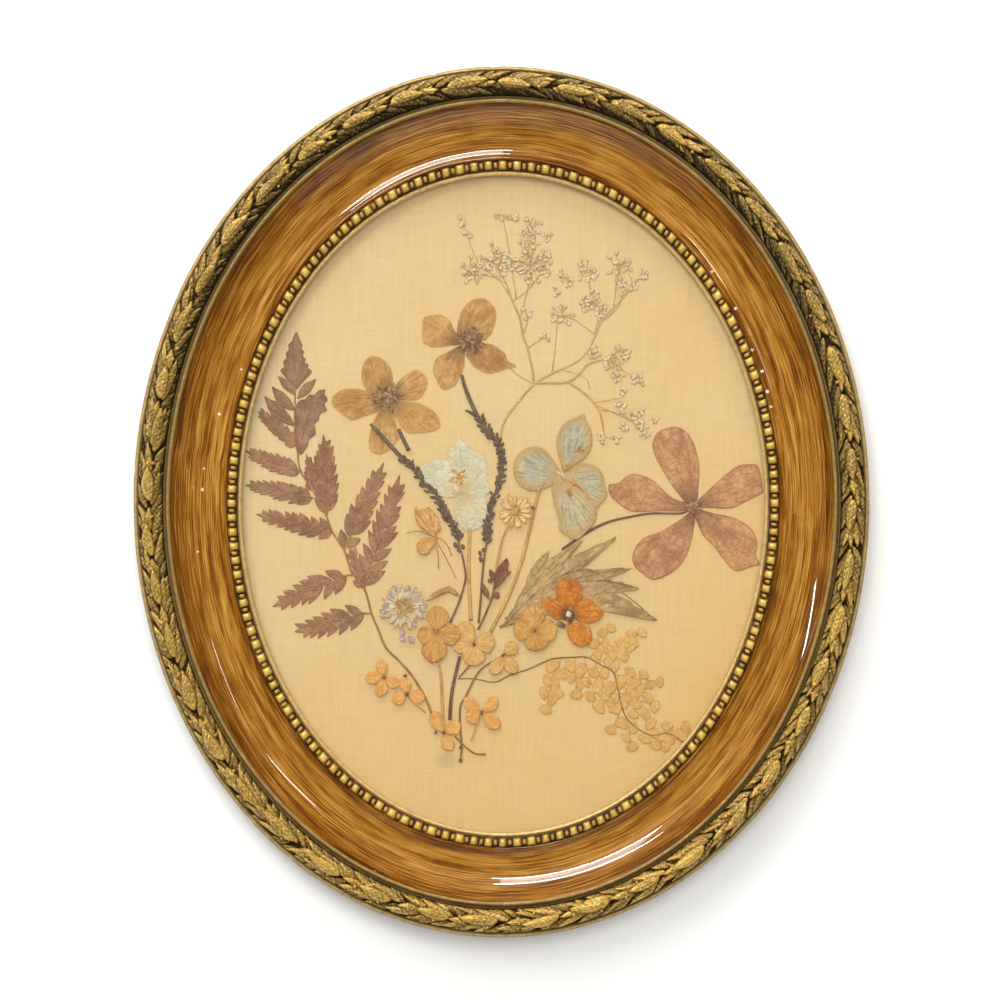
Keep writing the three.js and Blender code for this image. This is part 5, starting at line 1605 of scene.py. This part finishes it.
sageFinish = makeDryFinish(
    "grey_tan_leaf", bodies=[(192, 154, 102), (184, 148, 100), (176, 146, 106)], deep=(150, 118, 80),
    pale=(212, 178, 124), vein=(138, 108, 72), veinAmount=0.7, veinCount=16.0, rim=(140, 108, 68),
    rimFrom=0.84,
    cloud=75.0, crinkle=1.0, net=200.0, netAmount=0.35)
toothedParts = [
    petal(lens(base, tip, width, widest, -bend, 9, 0.9), base, 1, 0.012 * i, None, 0, 60, 7, 0.16,
          ragged=0.045)
    for i, (base, tip, width, widest, bend) in enumerate(toothed["fingers"])]
toothedParts += [stem(path, [2.2, 0.8], 1, 0.1, 0.9, 0, 6, 0.12, 0.2) for path in toothed["ribs"]]
pressPiece("toothed_leaf", toothedParts, [sageFinish])

# each bare stem: its paths, widths, finish (tan, maroon or walnut) and buds
bouquet = {
    "bouquet_stem_1": ([[(436.8, 661), (441, 679.3), (443.1, 721.4)]], [2.4, 2.6], 0, []),
    "bouquet_stem_2": ([[(460, 658.2), (452.2, 693.3), (449.9, 722)]], [3.2, 3.4], 1, []),
    "bouquet_stem_3": ([[(501.4, 658.9), (480.3, 672.2), (466.3, 697.5), (460, 711.5), (462, 748)],
                        [(455, 738), (462, 745)], [(462, 745), (474, 755), (486, 756)],
                        [(462, 748), (460.7, 762)]],
                       [1.8, 1.8], 2, [(461.4, 749.4), (460.7, 762)]),
    "bouquet_stem_4": ([[(459.3, 679.3), (471.9, 665.2)]], [1.6, 1.8], 2, []),
}
maroonFinish = makeDryFinish(
    "maroon_stem", bodies=[(108, 62, 58), (122, 74, 64)], deep=(84, 46, 44), pale=(150, 104, 86))
for name, (paths, widths, finish, buds) in bouquet.items():
    parts = [stem(path, widths, 1, 0.0, 0.5, finish, 8, 0.14) for path in paths]
    parts += [bud(spot, 2.2, 1, 0.02, 0.5, 1) for spot in buds]
    pressPiece(name, parts, [tanStemFinish, maroonFinish, walnutStemFinish])

folded = {"upper": [(425.6, 603.5), (432, 596.5), (438.2, 592), (449.4, 588), (456, 592), (460, 598.6)],
          "lower": [(425.6, 603.5), (433, 601), (439, 598), (449, 594), (454, 597), (460, 598.6)]}
leafTanFinish = makeDryFinish(
    "folded_tan_leaf", bodies=[(202, 154, 96), (188, 140, 84)], deep=(156, 108, 62), deepAmount=0.6,
    rim=(140, 94, 52), rimFrom=0.6, rimAmount=0.6)
foldedParts = [leafBand(folded["upper"], folded["lower"], 2, 0.4, 26, 0.08),
               stem([(427, 603), (440, 596), (449.4, 591.5), (458, 597)], [1.4, 1.8], 2, 0.1, 0.2, 0, 6, 0.1)]
pressPiece("folded_leaf", foldedParts, [leafTanFinish])

crumpled = {
    "centre": (435, 538), "knot": (434, 538),
    "petals": [
        [(434, 541), (424, 540), (417, 546), (418, 554), (425, 557), (431, 552), (436, 545)],
        [(437, 534), (431.2, 536.6), (418.6, 527), (415, 517), (415.8, 508.6), (422, 512), (429.8, 510),
         (438, 519.8), (441, 532)]],
    "threads": [
        [(434, 538), (420, 533), (407, 535)], [(434, 538), (438, 556), (438.5, 571.5)],
        [(434, 538), (446, 560), (456, 580)], [(434, 538), (446, 545), (452, 558)],
        [(434, 538), (425, 528), (417, 521)]],
}
crumpledFinish = makeDryFinish(
    "crumpled_tan_petals", bodies=[(222, 172, 104), (206, 150, 84)], deep=(190, 132, 66), deepAmount=0.6,
    pale=(238, 200, 140), paleAmount=0.5, rim=(172, 116, 60), rimFrom=0.8, rimAmount=0.7, cloud=120.0,
    crinkle=0.8)
crumpledParts = petals(crumpled["petals"], crumpled["centre"], 2, 0.05, sides=36, rings=6, crease=0.14,
                       ragged=0.05)
crumpledParts += [stem(path, [1.3, 0.9], 2, 0.02, 0.5, 0, 5, 0.08) for path in crumpled["threads"]]
crumpledParts += stamens(crumpled["knot"], 3, 6, 1.2, 2, 0.15, 0)
pressPiece("crumpled_flower", crumpledParts, [crumpledFinish])

sprig = {
    "leaves": [((495, 592), (507.8, 559.6), 12), ((497, 580), (512, 574), 6), ((495, 584), (490, 571), 6),
               ((489.5, 602), (481.2, 584.1), 6), ((493, 600), (499.5, 594), 5)],
    "stem": [(499, 574), (495, 588), (491.5, 602), (485, 618), (478.2, 632)],
    "buds": [(497.6, 598.4), (490.4, 583)],
}
maroonLeafFinish = makeDryFinish(
    "maroon_leaf", bodies=[(138, 94, 68), (126, 82, 60)], deep=(98, 60, 48), deepAmount=0.6,
    pale=(164, 116, 92), vein=(96, 56, 50), rim=(98, 58, 50), rimFrom=0.75, rimAmount=0.5)
sprigParts = [petal(lens(base, tip, width, 0.5), base, 3, 0.03 * i, None, 0, 24, 5, 0.08, ragged=0.07)
              for i, (base, tip, width) in enumerate(sprig["leaves"])]
sprigParts.append(stem(sprig["stem"], [1.8, 2.2], 3, 0.02, 0.5, 0, 6, 0.12))
sprigParts += [bud(spot, 2.5, 3, 0.05, 0.5, 0) for spot in sprig["buds"]]
pressPiece("maroon_sprig", sprigParts, [maroonLeafFinish])
print("leaves, stems and sprigs made")


# Camera, light and stage

camera = {
    "azimuth": 1.5, "elevation": -1.5, "distance": 2.2, "lens": 158.4, "sensor": 36.0,
    "target": (-0.0003, -0.02545, -0.1897),
}
azimuth, elevation = math.radians(camera["azimuth"]), math.radians(camera["elevation"])
towardsCamera = np.array([
    math.sin(azimuth) * math.cos(elevation), -math.cos(azimuth) * math.cos(elevation), math.sin(elevation)])


# An object at a place, its -Z axis towards a target.
def aim(thing, place, target):
    thing.location = place
    thing.rotation_euler = (Vector(target) - Vector(place)).to_track_quat("-Z", "Y").to_euler()
    bpy.context.scene.collection.objects.link(thing)


view = bpy.data.objects.new("camera", bpy.data.cameras.new("camera"))
view.data.lens, view.data.sensor_width = camera["lens"], camera["sensor"]
view.data.clip_start, view.data.clip_end = 0.05, 50.0
aim(view, tuple(np.array(camera["target"]) + towardsCamera * camera["distance"]), camera["target"])
bpy.context.scene.camera = view

# Soft lamps light the piece, and strips show only in its lacquer and gilding.
lamps = {
    "key": {"place": (-0.75, -1.9, 0.85), "size": (1.2, 0.9), "power": 22.0, "shines": False},
    "front": {"place": (0.1, -2.6, 0.0), "size": (1.2, 1.2), "power": 46.0, "shines": False},
    "ceiling": {"place": (-0.3, -0.9, 2.0), "size": (3.0, 1.2), "power": 44.0, "shines": False},
    "back": {"place": (1.2, 1.8, 0.8), "size": (1.5, 1.5), "power": 70.0, "shines": False},
    "strip_mid": {"place": (-0.61, -1.5, 1.5), "size": (1.12, 0.7), "power": 22.0, "shines": True},
    "strip_low": {"place": (-0.5, -1.5, 1.07), "size": (1.0, 0.11), "power": 10.0, "shines": True},
    "strip_high": {"place": (-0.9, -1.5, 2.17), "size": (1.8, 0.15), "power": 25.0, "shines": True},
    "strip_left": {"place": (-2.6, -0.5, 0.5), "size": (0.2, 0.7), "power": 20.0, "shines": True},
    "strip_right": {"place": (1.41, -1.5, 1.08), "size": (0.55, 0.1), "power": 3.5, "shines": True},
    "strip_right_low": {"place": (1.74, -1.5, 0.58), "size": (0.1, 0.4), "power": 1.6, "shines": True},
}
for name, lamp in lamps.items():
    light = bpy.data.lights.new(name, "AREA")
    light.shape, light.size, light.size_y, light.energy = "RECTANGLE", *lamp["size"], lamp["power"]
    holder = bpy.data.objects.new(name, light)
    aim(holder, lamp["place"], (lamp["place"][0] * lamp["shines"], -0.02, -0.19))
    holder.visible_glossy = lamp["shines"]
    holder.visible_diffuse = not lamp["shines"]
    holder.visible_transmission = False
    holder.visible_camera = False

studio = {"light": 0.12, "seen": 0.7, "colour": (1.0, 0.985, 0.96, 1.0)}
world = bpy.data.worlds.new("studio")
world.use_nodes = True
worldTree = world.node_tree
surroundings = worldTree.nodes["Background"]
surroundings.inputs["Color"].default_value = studio["colour"]
seen = addNode(worldTree, "LightPath").outputs["Is Camera Ray"]
strength = plus(worldTree, times(worldTree, seen, studio["seen"]), studio["light"])
worldTree.links.new(strength, surroundings.inputs["Strength"])
bpy.context.scene.world = world
bpy.context.scene.view_settings.view_transform = "Standard"


# A flat rectangle from its four corners.
def makePlane(name, corners, material):
    mesh = bpy.data.meshes.new(name)
    mesh.from_pydata(corners, [], [(0, 1, 2, 3)])
    mesh.materials.append(material)
    plane = bpy.data.objects.new(name, mesh)
    bpy.context.scene.collection.objects.link(plane)


# The wall shows from the front alone and lets lamp light through, so that the frame's back is lit as well.
paint, paintTree, paintShader, paintExit = newFinish(
    "pale_wall_paint", Base_Color=(0.93, 0.93, 0.92, 1.0), Roughness=0.95)
seeThrough = addNode(paintTree, "BsdfTransparent")
facing = addNode(paintTree, "NewGeometry")
shadowRay = addNode(paintTree, "LightPath").outputs["Is Shadow Ray"]
oneSided = addNode(paintTree, "MixShader", {
    0: calc(paintTree, "MAXIMUM", facing.outputs["Backfacing"], shadowRay), 1: paintShader.outputs[0],
    2: seeThrough.outputs[0]})
paintTree.links.new(oneSided.outputs[0], paintExit.inputs["Surface"])
wallAt, floorAt = 0.0022, -3.0
makePlane("wall", [(-6, wallAt, floorAt), (6, wallAt, floorAt), (6, wallAt, 6), (-6, wallAt, 6)], paint)
floorFinish = newFinish("pale_floor", Base_Color=(0.86, 0.86, 0.84, 1.0), Roughness=0.9)[0]
makePlane("floor", [(-3, -4, floorAt), (3, -4, floorAt), (3, 0, floorAt), (-3, 0, floorAt)], floorFinish)
print("camera, light and stage set")

bpy.context.view_layer.update()
